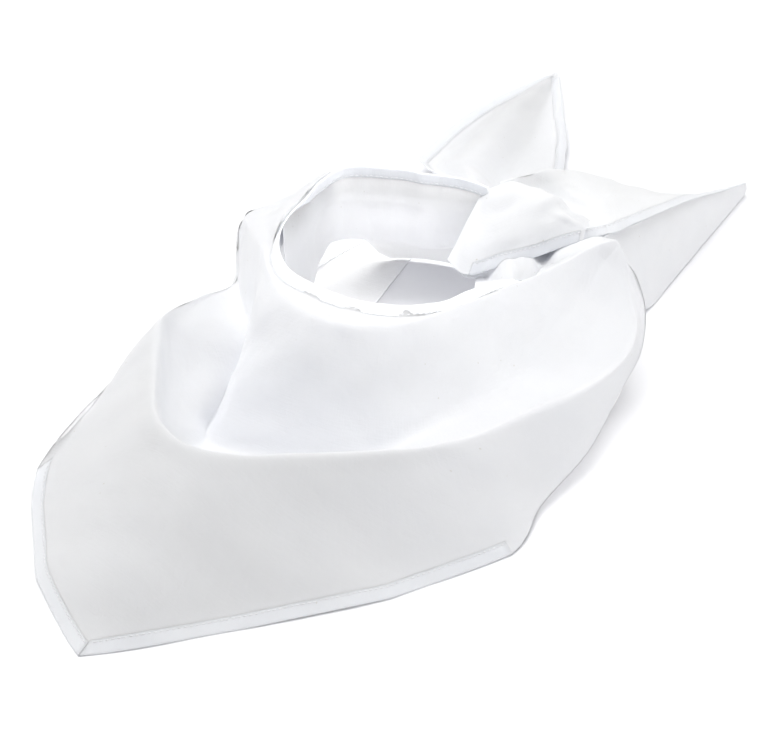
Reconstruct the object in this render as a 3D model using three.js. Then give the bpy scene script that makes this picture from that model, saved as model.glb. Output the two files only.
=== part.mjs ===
import * as THREE from "three";

// Driving sizes, in millimetres
const NECK_RADIUS = 70;
const COLLAR_HEIGHT = 80;
const COWL_REACH = 170;
const COWL_HEIGHT = 55;
const BIB_REACH = 308;
const CLOTH = 1.2;
const HEM_WIDTH = 7.5;
const HEM_THICKNESS = 2.2;
const GAP = 0.3;
const KNOT_LENGTH = 86;
const KNOT_HEIGHT = 92;
const RIGHT_TAIL_LENGTH = 196;
const RIGHT_TAIL_HEIGHT = 58;
const BACK_TAIL_LENGTH = 300;
const BACK_TAIL_WIDTH = 104;
const UNDER_REACH = 230;
const UNDER_WIDTH = 100;

// Sampling of the bib
const STEPS_PER_SECTION = 3;
const STEPS_DOWN = 17;

// Turns each row of a table into an object keyed by its column names
function table(columns, rows) {
  return rows.map((row) => Object.fromEntries(columns.map((name, i) => [name, row[i]])));
}

// Neck rim, a row for each place around the loop: at in degrees, reach in NECK_RADIUS, top in COLLAR_HEIGHT,
// lean in degrees below level of the hem as it leaves the rim, outwards under 90 and inwards past it
const RIM = table(["at", "reach", "top", "lean"], [
  [50, 0.93, 0.493, 20],
  [36, 0.97, 0.65, 20],
  [22, 1.03, 0.74, 20],
  [8, 1.06, 0.85, 20],
  [1, 1.055, 0.91, 21],
  [-6, 1.04, 0.965, 22],
  [-22, 1.0, 0.975, 25],
  [-38, 1.05, 0.99, 25],
  [-50, 1.05, 1.0, 25],
  [-64, 1.035, 1.01, 25],
  [-76, 1.025, 1.02, 25],
  [-88, 1.0, 1.025, 28],
  [-100, 1.0, 1.04, 30],
  [-112, 1.01, 1.05, 34],
  [-126, 0.98, 1.06, 40],
  [-139, 0.94, 1.075, 50],
  [-152, 0.9, 1.09, 62],
  [-164, 0.865, 1.1, 74],
  [-180, 0.83, 1.13, 86],
  [-198, 0.875, 1.17, 90],
  [-212, 0.9, 1.2, 90],
  [-226, 0.83, 1.21, 90],
  [-242, 0.77, 1.21, 90],
  [-258, 0.77, 1.195, 90],
  [-272, 0.86, 1.17, 90],
  [-284, 0.98, 1.14, 90],
  [-293, 1.08, 1.1, 90],
]);

// Azimuth on the rim at which each section of the bib starts, in degrees
const START = table(["at"], [
  [47],
  [36],
  [22],
  [8],
  [-6],
  [-22],
  [-38],
  [-50],
  [-64],
  [-76],
  [-88],
  [-100],
  [-112],
  [-126],
  [-139],
  [-152],
  [-164],
  [-175],
  [-183],
]);

// Fold lines of the bib, a row for each section from the knot around the front to the left ear:
// at in degrees, reach and top as shares of the sizes named beside each table
const CREST = table(["at", "reach", "top"], [
  [42.5, 1.5, 0.5],
  [32, 1.913, 0.938],
  [26.6, 1.653, 0.95],
  [16.2, 1.437, 0.963],
  [1, 1.264, 0.975],
  [-15.2, 1.174, 0.981],
  [-31.8, 1.173, 0.988],
  [-45, 1.236, 0.994],
  [-61.8, 1.329, 1.0],
  [-73, 1.366, 1.008],
  [-86.5, 1.346, 1.013],
  [-97, 1.276, 1.013],
  [-112, 1.171, 1.013],
  [-125, 1.106, 1.006],
  [-138, 1.071, 1.0],
  [-152, 1.121, 0.99],
  [-163, 1.229, 0.975],
  [-171, 1.329, 0.963],
  [-178.5, 1.177, 1.0],
]);

// Valley between the collar and the cowl: reach in COWL_REACH, top in COWL_HEIGHT
const POCKET = table(["at", "reach", "top"], [
  [42.8, 0.635, 0.67],
  [31.3, 0.797, 1.342],
  [25.5, 0.747, 1.218],
  [15, 0.706, 1.091],
  [0, 0.682, 1.018],
  [-17, 0.682, 0.909],
  [-33, 0.706, 0.836],
  [-47, 0.741, 0.727],
  [-62, 0.77, 0.44],
  [-76, 0.78, 0.25],
  [-91, 0.79, 0.13],
  [-104, 0.79, 0.1],
  [-110, 0.724, 0.327],
  [-115, 0.624, 0.545],
  [-120, 0.547, 0.78],
  [-133, 0.532, 0.85],
  [-149, 0.532, 0.97],
  [-168, 0.553, 1.345],
  [-180, 0.497, 1.4],
]);

// Top of the cowl: reach in COWL_REACH, top in COWL_HEIGHT
const RIDGE = table(["at", "reach", "top"], [
  [43, 0.655, 0.6],
  [30.3, 0.806, 1.291],
  [24, 0.818, 1.109],
  [14, 0.876, 0.836],
  [2, 0.888, 0.782],
  [-14, 0.879, 0.818],
  [-31, 0.888, 0.873],
  [-47, 0.947, 0.9],
  [-62, 0.997, 0.945],
  [-76, 1.065, 0.982],
  [-89, 1.165, 1.036],
  [-98, 1.153, 1.073],
  [-108, 1.012, 1.091],
  [-118, 0.9, 1.091],
  [-127.8, 0.824, 1.091],
  [-137, 0.665, 1.018],
  [-148, 0.538, 0.955],
  [-166.5, 0.555, 1.327],
  [-181, 0.506, 1.364],
]);

// Outer edge of the bib, a hem from row FIRST_HEMMED to row LAST_HEMMED and a fold elsewhere:
// reach in BIB_REACH, top in COLLAR_HEIGHT
const FIRST_HEMMED = 7;
const CORNER_ROW = 10;
const LAST_HEMMED = 13;
const EDGE = table(["at", "reach", "top"], [
  [43.2, 0.375, 0.34],
  [28.3, 0.451, 0.825],
  [21, 0.489, 0.65],
  [12, 0.5, 0.438],
  [-1, 0.497, 0.319],
  [-18, 0.526, 0.163],
  [-32.6, 0.575, 0.07],
  [-41.4, 0.652, 0.015],
  [-60, 0.73, 0.015],
  [-76, 0.833, 0.015],
  [-90, 1.0, 0.015],
  [-101, 0.906, 0.015],
  [-111.5, 0.808, 0.03],
  [-116.8, 0.757, 0.1],
  [-121, 0.607, 0.406],
  [-138, 0.399, 0.5],
  [-149.5, 0.313, 0.55],
  [-172.5, 0.298, 0.825],
  [-183, 0.273, 0.825],
]);

// Shape of a bib section between its fold lines: along runs from one line to the next, sag is the drop
// below the straight line as a share of COLLAR_HEIGHT
const PROFILE = table(["from", "along", "sag"], [
  [0, 0, 0],
  [0, 0.55, 0.008],
  [1, 0, 0],
  [1, 0.16, -0.03],
  [1, 0.5, 0],
  [1, 0.8, 0.03],
  [2, 0, 0],
  [2, 0.35, 0.04],
  [2, 0.8, 0.012],
  [3, 0, 0],
  [3, 0.16, -0.012],
  [3, 0.5, 0.02],
  [3, 0.8, 0.035],
  [4, 0, 0],
]);

// Back of the neck loop, a row for each section: at in degrees, low is the height of the bottom fold in
// COLLAR_HEIGHT, high the height of the outer layer in COLLAR_HEIGHT, thick the fold in NECK_RADIUS
const BAND = table(["at", "low", "high", "thick"], [
  [-152, 0.06, 0.45, 0.13],
  [-164, 0.06, 0.5, 0.13],
  [-178, 0.12, 0.6, 0.14],
  [-192, 0.4, 0.85, 0.15],
  [-206, 0.54, 0.98, 0.16],
  [-222, 0.53, 1.0, 0.17],
  [-240, 0.52, 1.0, 0.17],
  [-258, 0.52, 0.99, 0.17],
  [-272, 0.52, 0.97, 0.17],
  [-282, 0.54, 0.94, 0.16],
  [-290, 0.62, 0.86, 0.13],
]);

// Cloth hanging behind the band, a row for each section: spread is its reach at the surface in NECK_RADIUS
const DRAPE = table(["at", "spread", "foot"], [
  [-236, 1.5, 0.03],
  [-246, 1.58, 0.03],
  [-257, 1.58, 0.03],
  [-268, 1.54, 0.03],
  [-278, 1.46, 0.03],
  [-286, 1.34, 0.03],
]);

// Cloth turned under at the left, a row for each place from front to back: along in UNDER_REACH; foot and
// hem in UNDER_WIDTH; past the bib its top runs on at the share top of UNDER_WIDTH, high in COLLAR_HEIGHT
const LEFT_UNDER = table(["along", "top", "high", "foot", "hem"], [
  [-0.87, 0, 0, 0.985, 0.94],
  [-0.72, 0, 0, 0.94, 0.89],
  [-0.56, 0, 0, 0.9, 0.79],
  [-0.42, 0, 0, 0.86, 0.71],
  [-0.3, 0, 0, 0.84, 0.64],
  [-0.17, 0, 0, 0.86, 0.56],
  [-0.06, 0, 0, 0.9, 0.48],
  [0.05, 0.82, 0.62, 0.92, 0.42],
  [0.17, 0.86, 0.16, 0.9, 0.34],
  [0.29, 0.85, 0.045, 0.865, 0.37],
  [0.4, 0.8, 0.03, 0.815, 0.4],
  [0.44, 0.77, 0.03, 0.785, 0.41],
]);

// Cloth turned under at the right, a row for each bib section: foot and hem in BIB_REACH
const RIGHT_UNDER = table(["at", "foot", "hem"], [
  [42, 0.34, 0.26],
  [27, 0.4, 0.3],
  [20, 0.44, 0.31],
  [11, 0.46, 0.32],
  [-2, 0.465, 0.34],
  [-18, 0.49, 0.4],
  [-31, 0.535, 0.48],
]);

// Knot wrap, a row for each section from the loop outwards: places of its hem at the front, its top, its back
// and its base, x and y in KNOT_LENGTH and z in KNOT_HEIGHT
const KNOT = table(
  ["frontX", "frontY", "frontZ", "topX", "topY", "topZ", "backX", "backY", "backZ", "baseX", "baseY", "baseZ"],
  [
    [0.36, 0.36, 0.6, 0.33, 0.84, 0.9, 0.33, 0.97, 0.7, 0.36, 0.64, 0.46],
    [0.47, 0.33, 0.6, 0.43, 0.93, 0.99, 0.45, 1.07, 0.74, 0.47, 0.66, 0.43],
    [0.65, 0.45, 0.63, 0.6, 0.96, 0.985, 0.6, 1.12, 0.74, 0.63, 0.76, 0.42],
    [0.82, 0.65, 0.65, 0.76, 0.99, 0.93, 0.72, 1.16, 0.71, 0.78, 0.88, 0.45],
    [0.93, 0.82, 0.665, 0.91, 1.05, 0.82, 0.84, 1.14, 0.67, 0.9, 0.98, 0.5],
    [1.0, 0.93, 0.665, 0.98, 1.1, 0.76, 0.93, 1.13, 0.66, 0.98, 1.04, 0.56],
  ],
);

// Right tail, a row for each section: along in RIGHT_TAIL_LENGTH from the knot, ridge is the hem's height,
// lean its step in from the front foot, depth the reach back of the top layer towards turn in degrees and
// drop its fall, all in RIGHT_TAIL_HEIGHT; foot is how far the front face reaches down
const RIGHT_TAIL = table(["along", "ridge", "lean", "depth", "turn", "drop", "foot"], [
  [-0.06, 1.04, 0.52, 0.4, 112, -0.04, 0.3],
  [0.04, 1.02, 0.4, 0.92, 148, -0.28, 0.7],
  [0.16, 0.97, 0.28, 0.86, 150, -0.15, 1.0],
  [0.32, 0.88, 0.17, 0.56, 150, 0.0, 1.0],
  [0.48, 0.76, 0.1, 0.4, 150, 0.12, 1.0],
  [0.64, 0.58, 0.06, 0.32, 152, 0.18, 1.0],
  [0.8, 0.38, 0.04, 0.27, 156, 0.15, 1.0],
  [0.92, 0.24, 0.02, 0.22, 160, 0.08, 1.0],
  [1.0, 0.15, 0.0, 0.19, 160, 0.04, 1.0],
]);

// Back tail, a row for each section: along in BACK_TAIL_LENGTH from the knot, side is the middle's place
// and half the half width in BACK_TAIL_WIDTH, lift the height and wave the ripple in COLLAR_HEIGHT
const BACK_TAIL = table(["along", "side", "half", "lift", "wave"], [
  [-0.018, 0.357, 0.13, 0.65, 0.05],
  [0.11, 0.06, 0.19, 0.47, 0.08],
  [0.22, -0.18, 0.3, 0.3, 0.1],
  [0.34, -0.4, 0.45, 0.16, 0.11],
  [0.48, -0.454, 0.44, 0.1, 0.1],
  [0.62, -0.527, 0.38, 0.08, 0.09],
  [0.76, -0.635, 0.26, 0.05, 0.06],
  [0.9, -0.7, 0.12, 0.035, 0.03],
  [1.0, -0.742, 0.012, 0.025, 0.0],
]);

const UP = new THREE.Vector3(0, 0, 1);

// Place given by azimuth in degrees, reach and height
function polar(at, reach, height) {
  const angle = THREE.MathUtils.degToRad(at);
  return new THREE.Vector3(Math.cos(angle) * reach, Math.sin(angle) * reach, height);
}

// Value of one column of a table at an azimuth, smoothly between rows that run clockwise
function columnAt(rows, name, at) {
  let i = 0;
  while (i < rows.length - 2 && rows[i + 1].at > at) i += 1;
  const a = rows[i];
  const b = rows[i + 1];
  const t = THREE.MathUtils.clamp((a.at - at) / (a.at - b.at), 0, 1);
  const before = rows[Math.max(i - 1, 0)];
  const after = rows[Math.min(i + 2, rows.length - 1)];
  const slopeA = (b[name] - before[name]) / Math.max(before.at - b.at, 1e-6);
  const slopeB = (after[name] - a[name]) / Math.max(a.at - after.at, 1e-6);
  const span = a.at - b.at;
  const t2 = t * t;
  const t3 = t2 * t;
  return (
    (2 * t3 - 3 * t2 + 1) * a[name] +
    (t3 - 2 * t2 + t) * slopeA * span +
    (3 * t2 - 2 * t3) * b[name] +
    (t3 - t2) * slopeB * span
  );
}

// Point on the neck rim at an azimuth
function rimAt(at) {
  return polar(at, NECK_RADIUS * columnAt(RIM, "reach", at), COLLAR_HEIGHT * columnAt(RIM, "top", at));
}

// Direction in which the hem leaves the rim at an azimuth
function hemDirection(at) {
  const lean = THREE.MathUtils.degToRad(columnAt(RIM, "lean", at));
  const out = polar(at, 1, 0);
  return out.multiplyScalar(Math.cos(lean)).addScaledVector(UP, -Math.sin(lean));
}

// Smooth curve through points, sampled count times
function smooth(points, count) {
  const curve = new THREE.CatmullRomCurve3(points, false, "centripetal");
  return Array.from({ length: count }, (_, k) => curve.getPoint(k / (count - 1)));
}

// Straight runs through points, with steps samples between neighbours
function straight(points, steps) {
  const out = [points[0].clone()];
  for (let i = 1; i < points.length; i += 1) {
    for (let k = 1; k <= steps; k += 1) {
      out.push(points[i - 1].clone().lerp(points[i], k / steps));
    }
  }
  return out;
}

// Grid of points lofted through sections, each a list of as many points, along its own leading lines if given
function loft(sections, steps, down, leading = []) {
  const count = (sections.length - 1) * steps + 1;
  const lines = sections[0].map((_, j) => smooth(sections.map((section) => section[j]), count));
  leading.forEach((line, j) => {
    lines[j] = line;
  });
  return Array.from({ length: count }, (_, i) => smooth(lines.map((line) => line[i]), down));
}

// Unit normal of a grid at one of its points
function gridNormal(grid, i, j) {
  const along = grid[Math.min(i + 1, grid.length - 1)][j].clone().sub(grid[Math.max(i - 1, 0)][j]);
  const row = grid[i];
  const down = row[Math.min(j + 1, row.length - 1)].clone().sub(row[Math.max(j - 1, 0)]);
  return along.cross(down).normalize();
}

// Closed mesh from rings of points, one ring for each step along
function closed(rings) {
  const size = rings[0].length;
  const position = rings.flat().flatMap((p) => [p.x, p.y, p.z]);
  const index = [];
  for (let i = 0; i < rings.length - 1; i += 1) {
    for (let k = 0; k < size; k += 1) {
      const a = i * size + k;
      const b = i * size + ((k + 1) % size);
      index.push(a, b, b + size, a, b + size, a + size);
    }
  }
  const half = size / 2;
  const last = (rings.length - 1) * size;
  for (let k = 0; k < half - 1; k += 1) {
    const a = k;
    const b = k + 1;
    const c = size - 2 - k;
    const d = size - 1 - k;
    index.push(a, d, c, a, c, b);
    index.push(last + a, last + c, last + d, last + a, last + b, last + c);
  }
  const geometry = new THREE.BufferGeometry();
  geometry.setAttribute("position", new THREE.Float32BufferAttribute(position, 3));
  geometry.setIndex(signedVolume(position, index) < 0 ? reversed(index) : index);
  return geometry;
}

// Volume enclosed by an indexed mesh, negative when its faces point inwards
function signedVolume(position, index) {
  const point = (i) => new THREE.Vector3().fromArray(position, i * 3);
  let total = 0;
  for (let i = 0; i < index.length; i += 3) {
    total += point(index[i]).dot(point(index[i + 1]).cross(point(index[i + 2]))) / 6;
  }
  return total;
}

// Same triangles with their faces the other way
function reversed(index) {
  return index.map((_, i) => index[i - (i % 3) + [0, 2, 1][i % 3]]);
}

// Cloth of even thickness under a grid, flattened where it would reach below the surface it lies on
function cloth(grid, side, thickness = CLOTH) {
  const rings = grid.map((row, i) => {
    const face = row.map((p) => new THREE.Vector3(p.x, p.y, Math.max(p.z, thickness)));
    const back = row.map((p, j) => {
      const q = face[j].clone().addScaledVector(gridNormal(grid, i, j), side * thickness);
      return new THREE.Vector3(q.x, q.y, Math.max(q.z, 0));
    });
    return [...face, ...back.reverse()];
  });
  return closed(rings);
}

// Hem of oblong section along a path: width points across it and normal through it
function hem(path, widths, normals, width = HEM_WIDTH, thickness = HEM_THICKNESS) {
  const rings = path.map((p, i) => {
    const corners = [
      [0, 0],
      [0.1, -0.5],
      [0.9, -0.5],
      [1, 0],
      [0.9, 0.5],
      [0.1, 0.5],
    ];
    return corners.map(([across, through]) => {
      const q = p.clone().addScaledVector(widths[i], across * width);
      return q.addScaledVector(normals[i], through * thickness);
    });
  });
  return closed(rings);
}

const finishes = {
  cotton: { color: 0xf4f5f8, roughness: 0.85 },
  hemmed: { color: 0xeff0f4, roughness: 0.88 },
  shaded: { color: 0xe9eaef, roughness: 0.85 },
};

const neckerchief = new THREE.Group();
neckerchief.name = "neckerchief";

// Adds one named piece with its own material
function add(name, geometry, finish) {
  const flat = geometry.toNonIndexed();
  flat.computeVertexNormals();
  const mesh = new THREE.Mesh(flat, new THREE.MeshStandardMaterial({ ...finishes[finish], name: `${name}_${finish}` }));
  mesh.name = name;
  neckerchief.add(mesh);
}

// Way across a horizontal line towards the middle of the bib
function inwardsFrom(a, b) {
  const run = b.clone().sub(a).setZ(0).normalize();
  return new THREE.Vector3(run.y, -run.x, 0);
}

const edgeLine = EDGE.map((row) => polar(row.at, BIB_REACH * row.reach, COLLAR_HEIGHT * row.top));
const rightInwards = inwardsFrom(edgeLine[CORNER_ROW], edgeLine[FIRST_HEMMED]).negate();
const leftInwards = inwardsFrom(edgeLine[LAST_HEMMED], edgeLine[CORNER_ROW]).negate();

// How far and which way the cloth stands back from its outer line to make room for the hem
function hemStep(i) {
  if (i < FIRST_HEMMED || i > LAST_HEMMED) return new THREE.Vector3();
  const reach = HEM_WIDTH + GAP;
  if (i === CORNER_ROW) {
    const both = rightInwards.clone().add(leftInwards);
    return both.multiplyScalar((2 * reach) / both.lengthSq());
  }
  return (i < CORNER_ROW ? rightInwards : leftInwards).clone().multiplyScalar(reach);
}

// Where the cloth of the bib leaves the hem: past its lower edge, or outside it where the hem hangs inwards
function bibStart(at) {
  const lean = columnAt(RIM, "lean", at);
  const t = THREE.MathUtils.smoothstep(lean, 42, 62);
  const past = hemDirection(at).multiplyScalar(HEM_WIDTH + GAP);
  const beside = polar(at, HEM_THICKNESS / 2 + 4.5 * CLOTH, -CLOTH / 2);
  return rimAt(at).add(past.lerp(beside, t));
}

// The five lines of a bib section: where the cloth leaves the hem, crest, pocket, ridge and edge
function bibLines(i) {
  return [
    bibStart(START[i].at),
    polar(CREST[i].at, NECK_RADIUS * CREST[i].reach, COLLAR_HEIGHT * CREST[i].top),
    polar(POCKET[i].at, COWL_REACH * POCKET[i].reach, COWL_HEIGHT * POCKET[i].top),
    polar(RIDGE[i].at, COWL_REACH * RIDGE[i].reach, COWL_HEIGHT * RIDGE[i].top),
    edgeLine[i].clone().add(hemStep(i)),
  ];
}

// One bib section from the neck hem to the edge
function bibSection(i) {
  const lines = bibLines(i);
  return PROFILE.map(({ from, along, sag }) => {
    const next = lines[Math.min(from + 1, lines.length - 1)];
    const span = Math.min(lines[from].distanceTo(next) / NECK_RADIUS, 1);
    const p = lines[from].clone().lerp(next, along);
    p.z -= sag * COLLAR_HEIGHT * span;
    return p;
  });
}

// Grid of the bib from the knot around to the left ear
function bibCloth() {
  const sections = START.map((_, i) => bibSection(i));
  const count = (sections.length - 1) * STEPS_PER_SECTION + 1;
  const last = PROFILE.length - 1;
  const lines = PROFILE.map((_, j) => smooth(sections.map((section) => section[j]), count));
  const starts = smooth(START.map((row) => new THREE.Vector3(row.at, 0, 0)), count);
  lines[0] = starts.map((p) => bibStart(p.x));
  const edges = straight(sections.map((section) => section[last]), STEPS_PER_SECTION);
  for (let i = FIRST_HEMMED * STEPS_PER_SECTION; i <= LAST_HEMMED * STEPS_PER_SECTION; i += 1) {
    lines[last][i] = edges[i];
  }
  return Array.from({ length: count }, (_, i) => smooth(lines.map((line) => line[i]), STEPS_DOWN));
}
const bibGrid = bibCloth();
add("bib", cloth(bibGrid, -1), "cotton");

// Place past the edge of the bib at one of its grid rows, where the cloth turned under begins
function pastEdge(i, far) {
  const end = STEPS_DOWN - 1;
  const edge = bibGrid[i][end];
  const before = bibGrid[Math.max(i - 1, 0)][end];
  const after = bibGrid[Math.min(i + 1, bibGrid.length - 1)][end];
  const along = after.clone().sub(before).normalize();
  const run = edge.clone().sub(bibGrid[i][end - 1]);
  run.addScaledVector(along, -run.dot(along)).normalize();
  const p = edge.clone().addScaledVector(run, far);
  return p.setZ(Math.max(p.z, 2 * CLOTH));
}

// How far past the bib's edge the first two lines of the cloth turned under run
const FOLD_STARTS = [4 * GAP, 2.5 * CLOTH];

// Place past the left edge of the bib at a distance y towards the back, held at the edge's ends
const leftEdges = FOLD_STARTS.map((far) => bibGrid.map((_, i) => pastEdge(i, far)).slice(LAST_HEMMED * STEPS_PER_SECTION));
function leftEdgeAt(y, line) {
  const edge = leftEdges[line];
  const after = edge.findIndex((p) => p.y > y);
  if (after === 0) return edge[0].clone();
  if (after < 0) return edge[edge.length - 1].clone();
  const a = edge[after - 1];
  const b = edge[after];
  return a.clone().lerp(b, (y - a.y) / (b.y - a.y));
}

// Neck hem
{
  const count = 62;
  const first = 29;
  const last = RIM[RIM.length - 1].at + 4;
  const ats = Array.from({ length: count }, (_, i) => first + ((last - first) * i) / (count - 1));
  const path = ats.map((at) => rimAt(at));
  const widths = ats.map((at) => hemDirection(at));
  const normals = path.map((_, i) => {
    const run = path[Math.min(i + 1, count - 1)].clone().sub(path[Math.max(i - 1, 0)]);
    return run.cross(widths[i]).normalize();
  });
  add("neck_hem", hem(path, widths, normals), "hemmed");
}

// Neck band: the loop's inner wall, folded back up on its outer side
{
  const sections = BAND.map(({ at, low, high, thick }) => {
    const rim = rimAt(at);
    const out = polar(at, 1, 0);
    const top = rim.z - HEM_WIDTH - GAP;
    const bottom = low * COLLAR_HEIGHT;
    const fold = thick * NECK_RADIUS;
    const place = (reach, height) => rim.clone().addScaledVector(out, reach).setZ(height);
    const tall = top - bottom;
    return [
      place(0, top),
      place(-0.06 * fold, top - 0.3 * tall),
      place(0.18 * fold, top - 0.48 * tall),
      place(-0.1 * fold, top - 0.72 * tall),
      place(0, bottom + 0.24 * fold),
      place(0.35 * fold, bottom),
      place(0.75 * fold, bottom + 0.2 * fold),
      place(fold, bottom + 0.6 * (high * COLLAR_HEIGHT - bottom)),
      place(1.1 * fold, high * COLLAR_HEIGHT),
    ];
  });
  add("neck_band", cloth(loft(sections, 2, 15), 1), "cotton");
}

// Cloth falling behind the band
{
  const sections = DRAPE.map(({ at, spread, foot }) => {
    const high = COLLAR_HEIGHT * columnAt(BAND, "high", at);
    const inner = rimAt(at).setZ(0).length() + 1.1 * NECK_RADIUS * columnAt(BAND, "thick", at) + 3 * GAP;
    const outer = spread * NECK_RADIUS;
    const low = foot * COLLAR_HEIGHT + CLOTH;
    const place = (share, height) => polar(at, inner + (outer - inner) * share, height);
    return [
      place(0, high),
      place(0.12, high + 0.4),
      place(0.34, low + 0.66 * (high - low)),
      place(0.58, low + 0.28 * (high - low)),
      place(0.8, low + 0.03 * (high - low)),
      place(1, low),
    ];
  });
  add("back_drape", cloth(loft(sections, 2, 10), -1), "cotton");
}

// Cloth turned under at the left
{
  const sections = LEFT_UNDER.map(({ along, top, high, foot, hem: end }) => {
    const place = (share, height) => new THREE.Vector3(-share * UNDER_WIDTH, along * UNDER_REACH, height);
    const y = along * UNDER_REACH;
    const start = high ? place(top, high * COLLAR_HEIGHT) : leftEdgeAt(y, 0);
    const next = high ? start.clone().setZ(Math.max(start.z - CLOTH, CLOTH)) : leftEdgeAt(y, 1);
    const tall = start.z;
    return [
      start,
      next,
      next.clone().lerp(place(foot, 0), 0.5).setZ(0.5 * tall),
      place(foot, 0.1 * tall + CLOTH),
      place(foot + 0.06 * (end - foot), CLOTH),
      place(foot + 0.5 * (end - foot), CLOTH),
      place(end, CLOTH),
    ];
  });
  const grid = loft(sections, 2, 11);
  add("left_turn_under", cloth(grid, 1), "shaded");
}

// Cloth turned under at the right
{
  const sections = RIGHT_UNDER.map(({ at, foot, hem: end }, i) => {
    const [top, next] = FOLD_STARTS.map((far) => pastEdge(i * STEPS_PER_SECTION, far));
    const place = (share, height) => polar(at, share * BIB_REACH, height);
    return [
      top,
      next,
      next.clone().lerp(place(foot, 0), 0.5),
      place(foot + 0.004, 0.08 * top.z + CLOTH),
      place(foot - 0.02, CLOTH),
      place((foot + end) / 2, CLOTH),
      place(end, CLOTH),
    ];
  });
  const count = STEPS_PER_SECTION * (sections.length - 1) + 1;
  const leading = FOLD_STARTS.map((far) => Array.from({ length: count }, (_, i) => pastEdge(i, far)));
  add("right_turn_under", cloth(loft(sections, STEPS_PER_SECTION, 9, leading), 1), "shaded");
}

// Hems along the two short edges of the bib
{
  const path = (from, to) => {
    const rows = edgeLine.slice(Math.min(from, to), Math.max(from, to) + 1);
    return straight(from > to ? rows.reverse() : rows, 4);
  };
  const raised = (points) => points.map((p) => p.clone().setZ(Math.max(p.z - CLOTH / 2, HEM_THICKNESS / 2)));
  const right = raised(path(FIRST_HEMMED, CORNER_ROW));
  const left = raised(path(LAST_HEMMED, CORNER_ROW));
  const end = left[left.length - 1];
  const back = left[left.length - 2].clone().sub(end).normalize();
  left[left.length - 1] = end.clone().addScaledVector(back, (HEM_WIDTH + 2 * GAP) / back.dot(rightInwards));
  const ways = (points, way) => points.map(() => way);
  add("bib_hem_right", hem(right, ways(right, rightInwards), ways(right, UP)), "hemmed");
  add("bib_hem_left", hem(left, ways(left, leftInwards), ways(left, UP)), "hemmed");
}

// Knot wrap
{
  const sections = KNOT.map((row) => {
    const place = (name) =>
      new THREE.Vector3(
        row[`${name}X`] * KNOT_LENGTH,
        row[`${name}Y`] * KNOT_LENGTH,
        row[`${name}Z`] * KNOT_HEIGHT,
      );
    const front = place("front");
    const top = place("top");
    const back = place("back");
    const base = place("base");
    const belly = front.clone().lerp(top, 0.45);
    belly.z += 0.07 * KNOT_HEIGHT;
    belly.y -= 0.03 * KNOT_LENGTH;
    const tuck = front.clone().lerp(base, 0.2);
    tuck.z -= 0.04 * KNOT_HEIGHT;
    return [front, belly, top, back, base, tuck];
  });
  add("knot_wrap", cloth(loft(sections, 2, 17), -1, 1.4 * CLOTH), "cotton");
}

// Gathered cloth inside the knot
{
  const middle = smooth(
    [
      new THREE.Vector3(0.44 * KNOT_LENGTH, 0.66 * KNOT_LENGTH, 0.66 * KNOT_HEIGHT),
      new THREE.Vector3(0.58 * KNOT_LENGTH, 0.78 * KNOT_LENGTH, 0.68 * KNOT_HEIGHT),
      new THREE.Vector3(0.74 * KNOT_LENGTH, 0.92 * KNOT_LENGTH, 0.66 * KNOT_HEIGHT),
    ],
    9,
  );
  const across = new THREE.Vector3(-0.6, 0.8, 0);
  const rings = middle.map((p, i) => {
    const swell = 0.132 + 0.07 * Math.sin((Math.PI * i) / 8);
    return Array.from({ length: 16 }, (_, k) => {
      const angle = (Math.PI * 2 * k) / 16;
      const reach = swell * KNOT_LENGTH * (1 + 0.06 * Math.cos(angle * 4));
      const q = p.clone().addScaledVector(across, Math.cos(angle) * reach);
      return q.addScaledVector(UP, Math.sin(angle) * reach * 0.8);
    });
  });
  add("knot_core", closed(rings), "shaded");
}

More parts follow.
